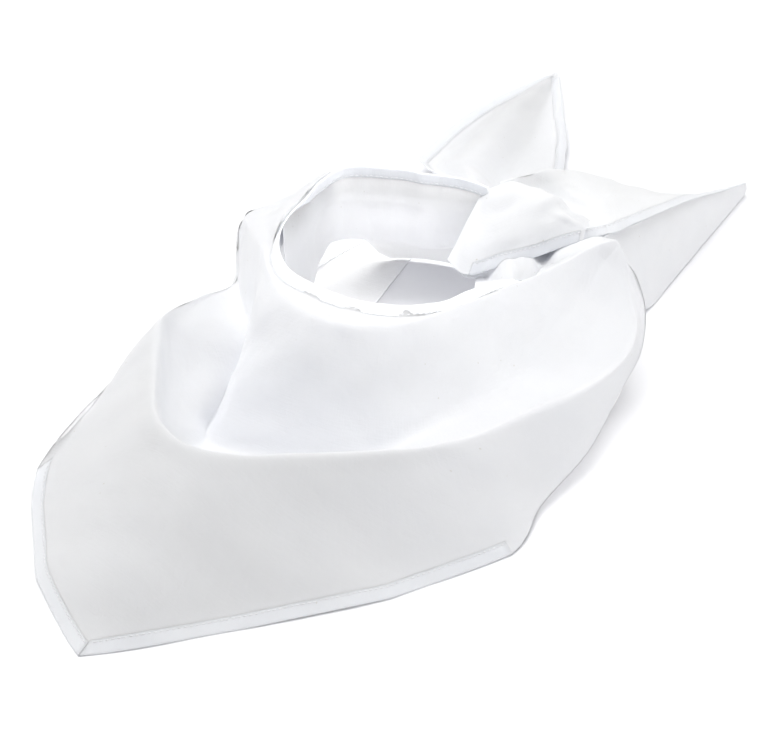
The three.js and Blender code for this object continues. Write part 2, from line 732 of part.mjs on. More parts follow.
// Right tail: top layer, fold at the back, lower layer and the front face that stands on the surface
const tailFoot = 1.385 * KNOT_LENGTH;
const tailStart = 1.09 * KNOT_LENGTH;
function tailRidge(row) {
  const tall = row.ridge * RIGHT_TAIL_HEIGHT;
  const y = tailStart + row.along * RIGHT_TAIL_LENGTH;
  return new THREE.Vector3(tailFoot - row.lean * RIGHT_TAIL_HEIGHT, y, tall);
}
function tailBack(row) {
  const reach = row.depth * RIGHT_TAIL_HEIGHT;
  return tailRidge(row).add(polar(row.turn, reach, -row.drop * RIGHT_TAIL_HEIGHT));
}
{
  const sections = RIGHT_TAIL.slice(0, -1).map((row) => {
    const ridge = tailRidge(row);
    const back = tailBack(row);
    const way = back.clone().sub(ridge);
    const start = ridge.clone().addScaledVector(way.clone().normalize(), HEM_WIDTH + GAP);
    const under = (share, down) => {
      const p = ridge.clone().addScaledVector(way, share);
      p.z = Math.max(p.z - down, 1.5 * CLOTH);
      return p;
    };
    const lower = Math.min(0.1 * RIGHT_TAIL_HEIGHT, 0.4 * ridge.z);
    const foot = new THREE.Vector3(tailFoot, ridge.y, CLOTH).lerp(ridge, 1 - row.foot);
    return [
      start,
      start.clone().lerp(back, 0.5).addScaledVector(UP, 0.03 * RIGHT_TAIL_HEIGHT * row.depth),
      under(0.94, 0),
      under(1.0, 0.3 * lower),
      under(0.93, 0.8 * lower),
      under(0.5, 1.1 * lower),
      under(0.03, lower),
      ridge.clone().setZ(ridge.z - 1.5 * lower).lerp(foot, 0.04),
      ridge.clone().setZ((ridge.z + foot.z) / 2).lerp(foot, 0.3),
      foot,
    ];
  });
  const count = 2 * (sections.length - 1) + 1;
  const path = smooth(RIGHT_TAIL.map(tailRidge), count + 2);
  const backs = smooth(RIGHT_TAIL.map(tailBack), count + 2);
  const widths = path.map((p, i) => backs[i].clone().sub(p).normalize());
  const normals = path.map((_, i) => {
    const run = path[Math.min(i + 1, path.length - 1)].clone().sub(path[Math.max(i - 1, 0)]);
    return run.cross(widths[i]).normalize();
  });
  const room = HEM_WIDTH + 3 * GAP;
  const first = path.slice(0, count).map((p, i) => p.clone().addScaledVector(widths[i], room));
  add("right_tail", cloth(loft(sections, 2, 21, [first]), -1), "cotton");
  const sunk = path.map((p, i) => p.clone().addScaledVector(normals[i], -CLOTH / 2));
  add("right_tail_hem", hem(sunk, widths, normals), "hemmed");
}

// Back tail and the hems along its two edges
const backStart = 1.1 * KNOT_LENGTH;
function backTailPoint(row, across) {
  const y = backStart + row.along * BACK_TAIL_LENGTH;
  const x = (row.side + across * row.half) * BACK_TAIL_WIDTH;
  const ripple = Math.cos((across + 0.2) * Math.PI * 1.7);
  const z = (row.lift + row.wave * 0.6 * ripple) * COLLAR_HEIGHT;
  return new THREE.Vector3(x, y, Math.max(z, HEM_THICKNESS));
}

{
  const count = 21;
  const shares = Array.from({ length: 11 }, (_, k) => -1 + k / 5);
  const lines = shares.map((share) => smooth(BACK_TAIL.map((row) => backTailPoint(row, share)), count));
  const edges = [lines[0], lines[lines.length - 1]];
  const inner = edges.map((line, e) =>
    line.map((p, i) => {
      const run = line[Math.min(i + 1, count - 1)].clone().sub(line[Math.max(i - 1, 0)]).normalize();
      const way = edges[1 - e][i].clone().sub(p).setZ(0);
      return way.addScaledVector(run, -way.dot(run)).normalize();
    }),
  );
  const inset = HEM_WIDTH + 4 * GAP;
  const wide = (i) => edges[0][i].distanceTo(edges[1][i]) > 2.6 * inset;
  const last = edges[0].findLastIndex((_, i) => wide(i));
  const grid = Array.from({ length: last + 1 }, (_, i) => {
    const a = edges[0][i].clone().addScaledVector(inner[0][i], inset);
    const b = edges[1][i].clone().addScaledVector(inner[1][i], inset);
    return shares.map((share, k) => a.clone().lerp(b, (share + 1) / 2).setZ(lines[k][i].z));
  });
  add("back_tail", cloth(grid, 1), "cotton");
  for (const [name, e] of [["back_tail_hem_left", 0], ["back_tail_hem_right", 1]]) {
    const path = e ? edges[e].slice(0, last + 1) : edges[e];
    const sunk = path.map((p) => p.clone().setZ(Math.max(p.z - CLOTH / 2, HEM_THICKNESS / 2)));
    const normals = path.map((_, i) => {
      const run = path[Math.min(i + 1, path.length - 1)].clone().sub(path[Math.max(i - 1, 0)]);
      return run.cross(inner[e][i]).normalize().multiplyScalar(e ? -1 : 1);
    });
    add(name, hem(sunk, inner[e], normals), "hemmed");
  }
}

// Origin at the middle of the box's underside
const box = new THREE.Box3().setFromObject(neckerchief);
const shift = new THREE.Vector3(-(box.min.x + box.max.x) / 2, -(box.min.y + box.max.y) / 2, -box.min.z);
for (const mesh of neckerchief.children) mesh.geometry.translate(shift.x, shift.y, shift.z);

export default neckerchief;
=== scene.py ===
"""White cotton neckerchief, tied in a loop and lying on a table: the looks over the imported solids."""
import logging
import math
from dataclasses import dataclass, field
from enum import Enum

import bpy
import numpy as np
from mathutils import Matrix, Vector


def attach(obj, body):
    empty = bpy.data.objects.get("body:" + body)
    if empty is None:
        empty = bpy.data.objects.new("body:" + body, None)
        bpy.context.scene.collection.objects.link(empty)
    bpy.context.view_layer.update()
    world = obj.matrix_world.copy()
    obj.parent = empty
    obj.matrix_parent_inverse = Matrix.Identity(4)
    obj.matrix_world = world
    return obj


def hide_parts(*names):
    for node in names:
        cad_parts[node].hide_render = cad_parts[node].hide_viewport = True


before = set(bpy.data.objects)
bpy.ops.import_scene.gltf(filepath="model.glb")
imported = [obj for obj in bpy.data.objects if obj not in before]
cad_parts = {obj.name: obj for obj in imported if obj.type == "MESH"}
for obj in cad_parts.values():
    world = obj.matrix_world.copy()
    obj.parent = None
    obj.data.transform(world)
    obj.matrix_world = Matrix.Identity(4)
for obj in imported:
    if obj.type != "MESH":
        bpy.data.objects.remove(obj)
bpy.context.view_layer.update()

LOG = logging.getLogger("neckerchief")

# Middle of the neck loop in the part's frame, in millimetres; all tables are measured from it
LOOP_CENTRE = np.array([-25.67, -43.30, 0.0])

NECK_RADIUS = 70.0
COLLAR_HEIGHT = 80.0
COWL_REACH = 170.0
COWL_HEIGHT = 55.0
BIB_REACH = 308.0
UNDER_REACH = 230.0
UNDER_WIDTH = 100.0
BACK_TAIL_LENGTH = 300.0
BACK_TAIL_WIDTH = 104.0
HEM_WIDTH = 7.5

# The column of a hem's distances in which its stitches lie
STITCH_LINE = 6


@dataclass(frozen=True)
class Table:
    """Rows of numbers under named columns."""

    names: tuple[str, ...]
    rows: tuple[tuple[float, ...], ...]

    def column(self, name: str) -> np.ndarray:
        """Gives one column as an array."""
        return np.array([row[self.names.index(name)] for row in self.rows], dtype=float)

    def points(self, letter: str) -> np.ndarray:
        """Gives the three columns of one named line as points."""
        return np.stack([self.column(letter + axis) for axis in "xyz"], axis=-1)


# Neck rim around the loop: reach in NECK_RADIUS, top in COLLAR_HEIGHT, lean of the hem in degrees below level
RIM = Table(("at", "reach", "top", "lean"), (
    (50, 0.93, 0.493, 20), (36, 0.97, 0.65, 20), (22, 1.03, 0.74, 20), (8, 1.06, 0.85, 20), (1, 1.055, 0.91, 21),
    (-6, 1.04, 0.965, 22), (-22, 1.0, 0.975, 25), (-38, 1.05, 0.99, 25), (-50, 1.05, 1.0, 25), (-64, 1.035, 1.01, 25),
    (-76, 1.025, 1.02, 25), (-88, 1.0, 1.025, 28), (-100, 1.0, 1.04, 30), (-112, 1.01, 1.05, 34),
    (-126, 0.98, 1.06, 40), (-139, 0.94, 1.075, 50), (-152, 0.9, 1.09, 62), (-164, 0.865, 1.1, 74),
    (-180, 0.83, 1.13, 86), (-198, 0.875, 1.17, 90), (-212, 0.9, 1.2, 90), (-226, 0.83, 1.21, 90),
    (-242, 0.77, 1.21, 90), (-258, 0.77, 1.195, 90), (-272, 0.86, 1.17, 90), (-284, 0.98, 1.14, 90),
    (-293, 1.08, 1.1, 90)))

# Fold lines of the bib, a row for each section from the knot around the front to the left ear
START = Table(("at",), tuple((a,) for a in (
    47, 36, 22, 8, -6, -22, -38, -50, -64, -76, -88, -100, -112, -126, -139, -152, -164, -175, -183,
    -189, -196, -206)))
CREST = Table(("at", "reach", "top"), (
    (42.5, 1.5, 0.5), (32, 1.913, 0.938), (26.6, 1.653, 0.95), (16.2, 1.437, 0.963), (1, 1.264, 0.975),
    (-15.2, 1.174, 0.981), (-31.8, 1.173, 0.988), (-45, 1.236, 0.994), (-61.8, 1.329, 1.0), (-73, 1.366, 1.008),
    (-86.5, 1.346, 1.013), (-97, 1.276, 1.013), (-112, 1.171, 1.013), (-125, 1.106, 1.006), (-138, 1.071, 1.0),
    (-152, 1.121, 0.99), (-163, 1.229, 0.975), (-171, 1.329, 0.963), (-178.5, 1.177, 1.0), (-186, 0.993, 1.0875),
    (-192, 0.986, 1.115), (-203, 0.979, 1.16)))
POCKET = Table(("at", "reach", "top"), (
    (42.8, 0.635, 0.67), (31.3, 0.797, 1.342), (25.5, 0.747, 1.218), (15, 0.706, 1.091), (0, 0.682, 1.018),
    (-17, 0.682, 0.909), (-33, 0.706, 0.836), (-47, 0.741, 0.727), (-62, 0.77, 0.44), (-76, 0.78, 0.25),
    (-95, 0.8, 0.12), (-107, 0.84, 0.12), (-111, 0.734, 0.327), (-115, 0.624, 0.545), (-120, 0.547, 0.78),
    (-133, 0.532, 0.85), (-149, 0.532, 0.97), (-168, 0.553, 1.345), (-180, 0.497, 1.4), (-187.5, 0.435, 1.52),
    (-194, 0.43, 1.56), (-204, 0.42, 1.6)))
RIDGE = Table(("at", "reach", "top"), (
    (43, 0.655, 0.6), (30.3, 0.806, 1.291), (24, 0.818, 1.109), (14, 0.876, 0.836), (2, 0.888, 0.782),
    (-14, 0.879, 0.818), (-31, 0.888, 0.873), (-47, 0.947, 0.9), (-62, 0.997, 0.945), (-76, 1.065, 0.982),
    (-89, 1.165, 1.036), (-98, 1.153, 1.073), (-108, 1.012, 1.091), (-118, 0.9, 1.091), (-127.8, 0.824, 1.091),
    (-137, 0.665, 1.018), (-148, 0.538, 0.955), (-166.5, 0.555, 1.327), (-181, 0.506, 1.364), (-188, 0.445, 1.46),
    (-195, 0.44, 1.5), (-205, 0.43, 1.54)))
EDGE = Table(("at", "reach", "top"), (
    (43.2, 0.375, 0.34), (28.3, 0.451, 0.825), (21, 0.489, 0.65), (12, 0.5, 0.438), (-1, 0.497, 0.319),
    (-18, 0.526, 0.163), (-32.6, 0.575, 0.07), (-41.4, 0.652, 0.008), (-60, 0.73, 0.008), (-76, 0.833, 0.008),
    (-90, 1.0, 0.008), (-101, 0.906, 0.008), (-111.5, 0.808, 0.02), (-116.8, 0.757, 0.1), (-121, 0.607, 0.406),
    (-138, 0.399, 0.5), (-149.5, 0.313, 0.55), (-172.5, 0.298, 0.825), (-183, 0.273, 0.825), (-191, 0.25, 0.86),
    (-198, 0.245, 0.88), (-207, 0.24, 0.9)))
FIRST_HEMMED, CORNER_ROW, LAST_HEMMED = 7, 10, 13

# Shape between the fold lines of the bib: sag is the drop below the straight line, in COLLAR_HEIGHT
PROFILE = Table(("from", "along", "sag"), (
    (0, 0, 0), (0, 0.55, 0.008), (1, 0, 0), (1, 0.16, -0.03), (1, 0.5, 0), (1, 0.8, 0.03), (2, 0, 0),
    (2, 0.35, 0.04), (2, 0.7, 0.03), (2, 0.88, 0.02), (3, 0, 0), (3, 0.16, -0.012), (3, 0.5, 0.02), (3, 0.8, 0.035),
    (4, 0, 0)))

# Back of the loop: low is the bottom fold and high the outer layer in COLLAR_HEIGHT, thick the fold in NECK_RADIUS
BAND = Table(("at", "low", "high", "thick", "flap"), (
    (-152, 0.06, 0.45, 0.13, 0.08), (-164, 0.06, 0.5, 0.13, 0.1), (-178, 0.12, 0.6, 0.14, 0.12),
    (-192, 0.4, 0.85, 0.15, 0.16), (-206, 0.54, 0.98, 0.16, 0.22), (-222, 0.53, 1.0, 0.17, 0.36),
    (-236, 0.52, 1.0, 0.17, 0.9), (-246, 0.52, 1.0, 0.17, 1.0), (-258, 0.52, 0.99, 0.17, 1.0),
    (-272, 0.52, 0.97, 0.17, 1.0), (-282, 0.54, 0.94, 0.16, 1.0), (-290, 0.62, 0.86, 0.13, 0.9)))

# Cloth turned under at the left, from front to back: along in UNDER_REACH; foot and hem in UNDER_WIDTH
LEFT_UNDER = Table(("along", "top", "high", "foot", "hem"), (
    (-0.87, 0, 0, 0.96, 0.92), (-0.72, 0, 0, 0.88, 0.83), (-0.56, 0, 0, 0.84, 0.75), (-0.42, 0, 0, 0.83, 0.69),
    (-0.3, 0, 0, 0.84, 0.64), (-0.17, 0, 0, 0.86, 0.56), (-0.06, 0, 0, 0.9, 0.48), (0.05, 0.82, 0.62, 0.92, 0.42),
    (0.17, 0.86, 0.16, 0.9, 0.34), (0.29, 0.85, 0.045, 0.865, 0.37), (0.4, 0.8, 0.03, 0.815, 0.4),
    (0.44, 0.77, 0.03, 0.785, 0.41)))

# Cloth turned under at the right, a row for each bib section: foot and hem in BIB_REACH
RIGHT_UNDER = Table(("at", "foot", "hem"), (
    (42, 0.34, 0.26), (27, 0.4, 0.3), (20, 0.44, 0.31), (11, 0.46, 0.32), (-2, 0.465, 0.34), (-18, 0.49, 0.4),
    (-31, 0.535, 0.48)))

# Knot wrap from the loop outwards, in millimetres: its hem, top, back and base, and how far it bellies out
KNOT = Table(("fx", "fy", "fz", "tx", "ty", "tz", "bx", "by", "bz", "ux", "uy", "uz", "belly"), (
    (24, 27, 58, 24, 75, 81.5, 28, 86, 66, 31, 55, 42, 0.15), (36, 26.5, 52, 37, 79, 89, 39, 92, 68, 40, 57, 39.5, 0.5),
    (56, 38.7, 58, 51.6, 82, 88.5, 51.6, 96.3, 68, 54, 65.4, 38.6, 1.0),
    (70.5, 55.9, 59.8, 65.4, 85, 85, 61.9, 99.8, 65.3, 67, 75.7, 41.4, 1.0),
    (80, 70.5, 61.2, 77.5, 89.5, 75.6, 72.2, 98, 61.6, 77.4, 84.3, 46, 0.8),
    (87.7, 81.7, 61.2, 86, 94.6, 69, 81.7, 98.9, 62.6, 86, 90.3, 55.2, 0.4)))

# Gathered cloth that shows under the wrap's hem, from the loop outwards, in millimetres: low edge and high edge
PLEATS = Table(("lx", "ly", "lz", "hx", "hy", "hz"), (
    (54, 4, 50, 42, 30, 47), (60, 13, 54, 46, 38, 49), (64, 21, 63, 52, 46, 58), (70, 28, 65, 58, 54, 60),
    (75, 36, 61, 64, 61, 57), (79, 44, 55, 70, 68, 53), (85, 52, 62, 76, 76, 59), (93, 63, 65, 84, 84, 61),
    (102, 74, 66, 93, 91, 62), (110, 86, 62, 100, 101, 57)))

# Top layer of the right tail from behind the knot to the tip, in millimetres: its front edge, its middle and
# the fold at its back
TAIL_TOP = Table(("fx", "fy", "fz", "mx", "my", "mz", "bx", "by", "bz"), (
    (31, 88, 62, 26, 94, 70, 22, 100, 76), (42, 96, 60, 35, 104, 65, 29, 113, 75.5),
    (58, 102, 58, 47, 113, 60, 37, 126, 75), (76, 101, 58.5, 58, 122, 61, 42, 142, 70),
    (96, 101.5, 59.5, 72, 128, 64, 47, 158, 63), (103, 125, 56.3, 79, 146, 60, 53, 171, 55.5),
    (109.2, 156.4, 51, 88, 167, 52, 67, 180, 49), (113.3, 187.8, 44, 97, 191, 43.5, 80, 196, 39),
    (115.6, 219, 33.6, 105, 217, 32, 93, 216, 28), (116.8, 250.5, 22, 110, 247, 21, 103, 244, 19),
    (118, 274, 14.5, 114, 271, 13.5, 110, 269, 12), (119.4, 289, 9.5, 117, 287.5, 9, 115, 286, 8)))
TAIL_FOOT = 119.1

# Back tail from the knot to its tip: along in BACK_TAIL_LENGTH, side and half in BACK_TAIL_WIDTH; lift is its
# height, wave the height of its ripple and fall the drop of its right side, in COLLAR_HEIGHT
BACK_TAIL = Table(("along", "side", "half", "lift", "wave", "fall"), (
    (-0.018, 0.357, 0.13, 0.65, 0.05, 0.0), (0.11, 0.06, 0.19, 0.5, 0.07, 0.05), (0.22, -0.18, 0.3, 0.36, 0.09, 0.14),
    (0.34, -0.4, 0.46, 0.24, 0.13, 0.22), (0.48, -0.46, 0.465, 0.17, 0.14, 0.2), (0.62, -0.545, 0.41, 0.12, 0.12, 0.1),
    (0.76, -0.645, 0.295, 0.065, 0.08, 0.04), (0.9, -0.705, 0.14, 0.035, 0.04, 0.0),
    (1.0, -0.735, 0.014, 0.025, 0.0, 0.0)))
BACK_START = 94.6


def linear(code: str) -> tuple[float, float, float, float]:
    """Turns an sRGB hex colour into linear values.

    Args:
        code: six hex digits.

    Returns:
        Red, green, blue and alpha.
    """
    parts = [int(code[i:i + 2], 16) / 255 for i in (0, 2, 4)]
    r, g, b = (c / 12.92 if c <= 0.04045 else ((c + 0.055) / 1.055) ** 2.4 for c in parts)
    return r, g, b, 1.0


def node(tree: bpy.types.NodeTree, kind: str, links: dict | None = None, **settings: object) -> bpy.types.Node:
    """Adds a shader node with its settings and links.

    Args:
        tree: the node tree.
        kind: the node's type name.
        links: what feeds each input, as a socket or a plain value.
        settings: the node's own properties.

    Returns:
        The new node.
    """
    made = tree.nodes.new(kind)
    for name, value in settings.items():
        setattr(made, name, value)
    for name, value in (links or {}).items():
        socket = made.inputs[name]
        if isinstance(value, bpy.types.NodeSocket):
            tree.links.new(value, socket)
        else:
            socket.default_value = value
    return made


def blank_material(name: str) -> bpy.types.Material:
    """Makes a material whose nodes are still to be added.

    Args:
        name: its name.

    Returns:
        The material.
    """
    made = bpy.data.materials.new(name)
    made.use_nodes = True
    made.node_tree.nodes.clear()
    return made


def polar(at: np.ndarray, reach: np.ndarray, height: np.ndarray) -> np.ndarray:
    """Gives places from azimuths in degrees, reaches and heights."""
    angle = np.radians(at)
    return np.stack([np.cos(angle) * reach, np.sin(angle) * reach, height + 0 * angle], axis=-1)


def spline(points: np.ndarray, places: np.ndarray) -> np.ndarray:
    """Samples a smooth curve through points along their first axis.

    Args:
        points: the points, with any shape after the first axis.
        places: positions as fractions of the point index.

    Returns:
        The samples, one for each place.
    """
    points = np.asarray(points, dtype=float)
    if points.ndim == 1:
        return spline(points[:, None], places)[:, 0]
    ext = np.concatenate([2 * points[:1] - points[1:2], points, 2 * points[-1:] - points[-2:-1]])
    i = np.clip(np.floor(places).astype(int), 0, len(points) - 2)
    t = (places - i).reshape((-1,) + (1,) * (points.ndim - 1))
    p0, p1, p2, p3 = ext[i], ext[i + 1], ext[i + 2], ext[i + 3]
    d0, d1, d2 = (np.maximum(np.linalg.norm(b - a, axis=-1, keepdims=True) ** 0.5, 1e-4)
                  for a, b in ((p0, p1), (p1, p2), (p2, p3)))
    m1 = ((p1 - p0) / d0 - (p2 - p0) / (d0 + d1) + (p2 - p1) / d1) * d1
    m2 = ((p2 - p1) / d1 - (p3 - p1) / (d1 + d2) + (p3 - p2) / d2) * d1
    t2, t3 = t * t, t * t * t
    return (2 * t3 - 3 * t2 + 1) * p1 + (t3 - 2 * t2 + t) * m1 + (3 * t2 - 2 * t3) * p2 + (t3 - t2) * m2


def lofted(lines: np.ndarray, along: int, across: int) -> np.ndarray:
    """Makes a smooth grid over lines that run side by side.

    Args:
        lines: the lines' points, a row for each section and a column for each line.
        along: the number of rows wanted.
        across: the number of points wanted in a row.

    Returns:
        The grid.
    """
    rows = spline(lines, np.linspace(0, len(lines) - 1, along))
    return spline(rows.transpose(1, 0, 2), np.linspace(0, lines.shape[1] - 1, across)).transpose(1, 0, 2)


def by_azimuth(table: Table, name: str, at: np.ndarray) -> np.ndarray:
    """Reads a column of a table at azimuths that run clockwise, smoothly between its rows.

    Args:
        table: the table, its azimuths falling from row to row.
        name: the column.
        at: azimuths in degrees.

    Returns:
        The values.
    """
    rows = table.column("at")
    places = np.interp(-at, -rows, np.arange(len(rows)))
    return spline(table.column(name), places)


def unit(v: np.ndarray) -> np.ndarray:
    """Scales vectors to length one."""
    return v / np.maximum(np.linalg.norm(v, axis=-1, keepdims=True), 1e-9)


def eased(values: np.ndarray, times: int = 10) -> np.ndarray:
    """Smooths rows of values along their first axis, its ends kept.

    Args:
        values: the rows.
        times: how often each is mixed with its neighbours.

    Returns:
        The smoothed rows.
    """
    for _ in range(times):
        values = np.concatenate([values[:1], 0.25 * values[:-2] + 0.5 * values[1:-1] + 0.25 * values[2:], values[-1:]])
    return values


def normals_of(grid: np.ndarray) -> np.ndarray:
    """Gives the unit normals of a grid of points."""
    return unit(np.cross(np.gradient(grid, axis=0), np.gradient(grid, axis=1)))


def flat_places(grid: np.ndarray) -> np.ndarray:
    """Gives each point's place on the flat cloth, from lengths along the grid, in millimetres.

    Args:
        grid: the grid of points.

    Returns:
        Two lengths for each point, along and across.
    """
    across = np.linalg.norm(np.diff(grid, axis=1), axis=-1).cumsum(axis=1)
    across = np.concatenate([np.zeros((len(grid), 1)), across], axis=1)
    along = np.linalg.norm(np.diff(grid, axis=0), axis=-1).mean(axis=1).cumsum()
    along = np.concatenate([[0], along])
    return np.stack([np.repeat(along[:, None], grid.shape[1], axis=1), across], axis=-1)


def rim_at(at: np.ndarray) -> np.ndarray:
    """Gives points on the neck rim."""
    return polar(at, NECK_RADIUS * by_azimuth(RIM, "reach", at), COLLAR_HEIGHT * by_azimuth(RIM, "top", at))


def hem_way(at: np.ndarray) -> np.ndarray:
    """Gives the way in which the hem leaves the rim.

    Args:
        at: azimuths in degrees.

    Returns:
        Directions of length one.
    """
    lean = np.radians(by_azimuth(RIM, "lean", at))
    out = polar(at, np.cos(lean), 0 * lean)
    out[..., 2] = -np.sin(lean)
    return out


def uprightness(at: np.ndarray) -> np.ndarray:
    """Tells how far the hem hangs upright beside the drape, which there starts beside the rim and not from the hem.

    Args:
        at: azimuths in degrees.

    Returns:
        Shares from 0 to 1, as a column.
    """
    t = np.clip((by_azimuth(RIM, "lean", at) - 42) / 20, 0, 1)
    return (t * t * (3 - 2 * t))[:, None]


@dataclass(frozen=True)
class Wrinkles:
    """Soft random creases of hand-pressed cotton, the same on each run."""

    seed: int
    length: float
    height: float
    grain: float = 0.0
    spread: float = math.pi

    def at(self, places: np.ndarray) -> np.ndarray:
        """Gives the height of the creases.

        Args:
            places: points on the flat cloth, in millimetres.

        Returns:
            Heights in millimetres.
        """
        rng = np.random.default_rng(self.seed)
        total = np.zeros(places.shape[:-1])
        count = 26
        for _ in range(count):
            angle = self.grain + rng.uniform(-0.5, 0.5) * self.spread
            wave = self.length * rng.uniform(0.6, 1.7)
            phase = rng.uniform(0, 2 * math.pi)
            along = places[..., 0] * math.cos(angle) + places[..., 1] * math.sin(angle)
            total += np.sin(2 * math.pi * along / wave + phase)
        return self.height * total / math.sqrt(count / 2)


@dataclass(frozen=True)
class Crease:
    """One fold along a line on the cloth, raised where height is positive."""

    line: tuple[tuple[float, float, float], ...]
    width: float
    height: float

    def at(self, grid: np.ndarray) -> np.ndarray:
        """Gives the height of the fold at the points of a grid.

        Args:
            grid: the grid of points.

        Returns:
            Heights in millimetres.
        """
        line = spline(np.array(self.line), np.linspace(0, len(self.line) - 1, 24))
        best = np.full(grid.shape[:-1], np.inf)
        where = np.zeros(grid.shape[:-1])
        for i, (a, b) in enumerate(zip(line[:-1], line[1:])):
            run = b - a
            t = np.clip(((grid - a) @ run) / (run @ run), 0, 1)
            far = np.linalg.norm(grid - (a + t[..., None] * run), axis=-1)
            where = np.where(far < best, (i + t) / (len(line) - 1), where)
            best = np.minimum(best, far)
        taper = np.sin(np.pi * np.clip(where, 0.03, 0.97)) ** 0.6
        return self.height * np.exp(-(best / self.width) ** 2) * taper


class Side(Enum):
    """Which end of a grid's rows a border runs along."""

    START = "start"
    END = "end"


def make_object(name: str, points: np.ndarray, faces: np.ndarray, places: np.ndarray,
                material: bpy.types.Material) -> bpy.types.Object:
    """Makes a mesh object in the part's frame.

    Args:
        name: the object's name.
        points: places from the loop's centre, in millimetres.
        faces: four point numbers for each face.
        places: each point's place on the flat cloth, in millimetres.
        material: its finish.

    Returns:
        The object, smooth shaded, with the flat places as its UV map.
    """
    mesh = bpy.data.meshes.new(name)
    mesh.vertices.add(len(points))
    mesh.vertices.foreach_set("co", ((points + LOOP_CENTRE) / 1000).astype(np.float32).ravel())
    mesh.loops.add(faces.size)
    mesh.loops.foreach_set("vertex_index", faces.astype(np.int32).ravel())
    mesh.polygons.add(len(faces))
    mesh.polygons.foreach_set("loop_start", np.arange(0, faces.size, 4, dtype=np.int32))
    mesh.update(calc_edges=True)
    mesh.validate()
    layer = mesh.uv_layers.new(name="flat_cloth")
    corner = np.empty(len(mesh.loops), dtype=np.int32)
    mesh.loops.foreach_get("vertex_index", corner)
    layer.data.foreach_set("uv", (places[corner] / 1000).astype(np.float32).ravel())
    mesh.polygons.foreach_set("use_smooth", np.ones(len(mesh.polygons), dtype=bool))
    mesh.materials.append(material)
    made = bpy.data.objects.new(name, mesh)
    bpy.context.scene.collection.objects.link(made)
    return made


def tube_faces(count: int, size: int) -> np.ndarray:
    """Gives the faces of a tube of rings, with its ends closed by strips.

    Args:
        count: the number of rings.
        size: the points in a ring, an even number.

    Returns:
        Four point numbers for each face.
    """
    i, k = np.meshgrid(np.arange(count - 1), np.arange(size), indexing="ij")
    a, b = i * size + k, i * size + (k + 1) % size
    walls = np.stack([a, b, b + size, a + size], axis=-1).reshape(-1, 4)
    k = np.arange(size // 2 - 1)
    cap = np.stack([k, size - 1 - k, size - 2 - k, k + 1], axis=-1)
    return np.concatenate([walls, cap, cap[:, ::-1] + (count - 1) * size])


def volume_of(points: np.ndarray, faces: np.ndarray) -> float:
    """Gives the signed volume inside a closed mesh of four-sided faces."""
    a, b, c, d = (points[faces[:, k]] for k in range(4))
    return float((a * (np.cross(b, c) + np.cross(c, d))).sum() / 6)


def outward(points: np.ndarray, faces: np.ndarray) -> np.ndarray:
    """Turns the faces of a closed mesh to point outwards."""
    return faces[:, ::-1] if volume_of(points, faces) < 0 else faces


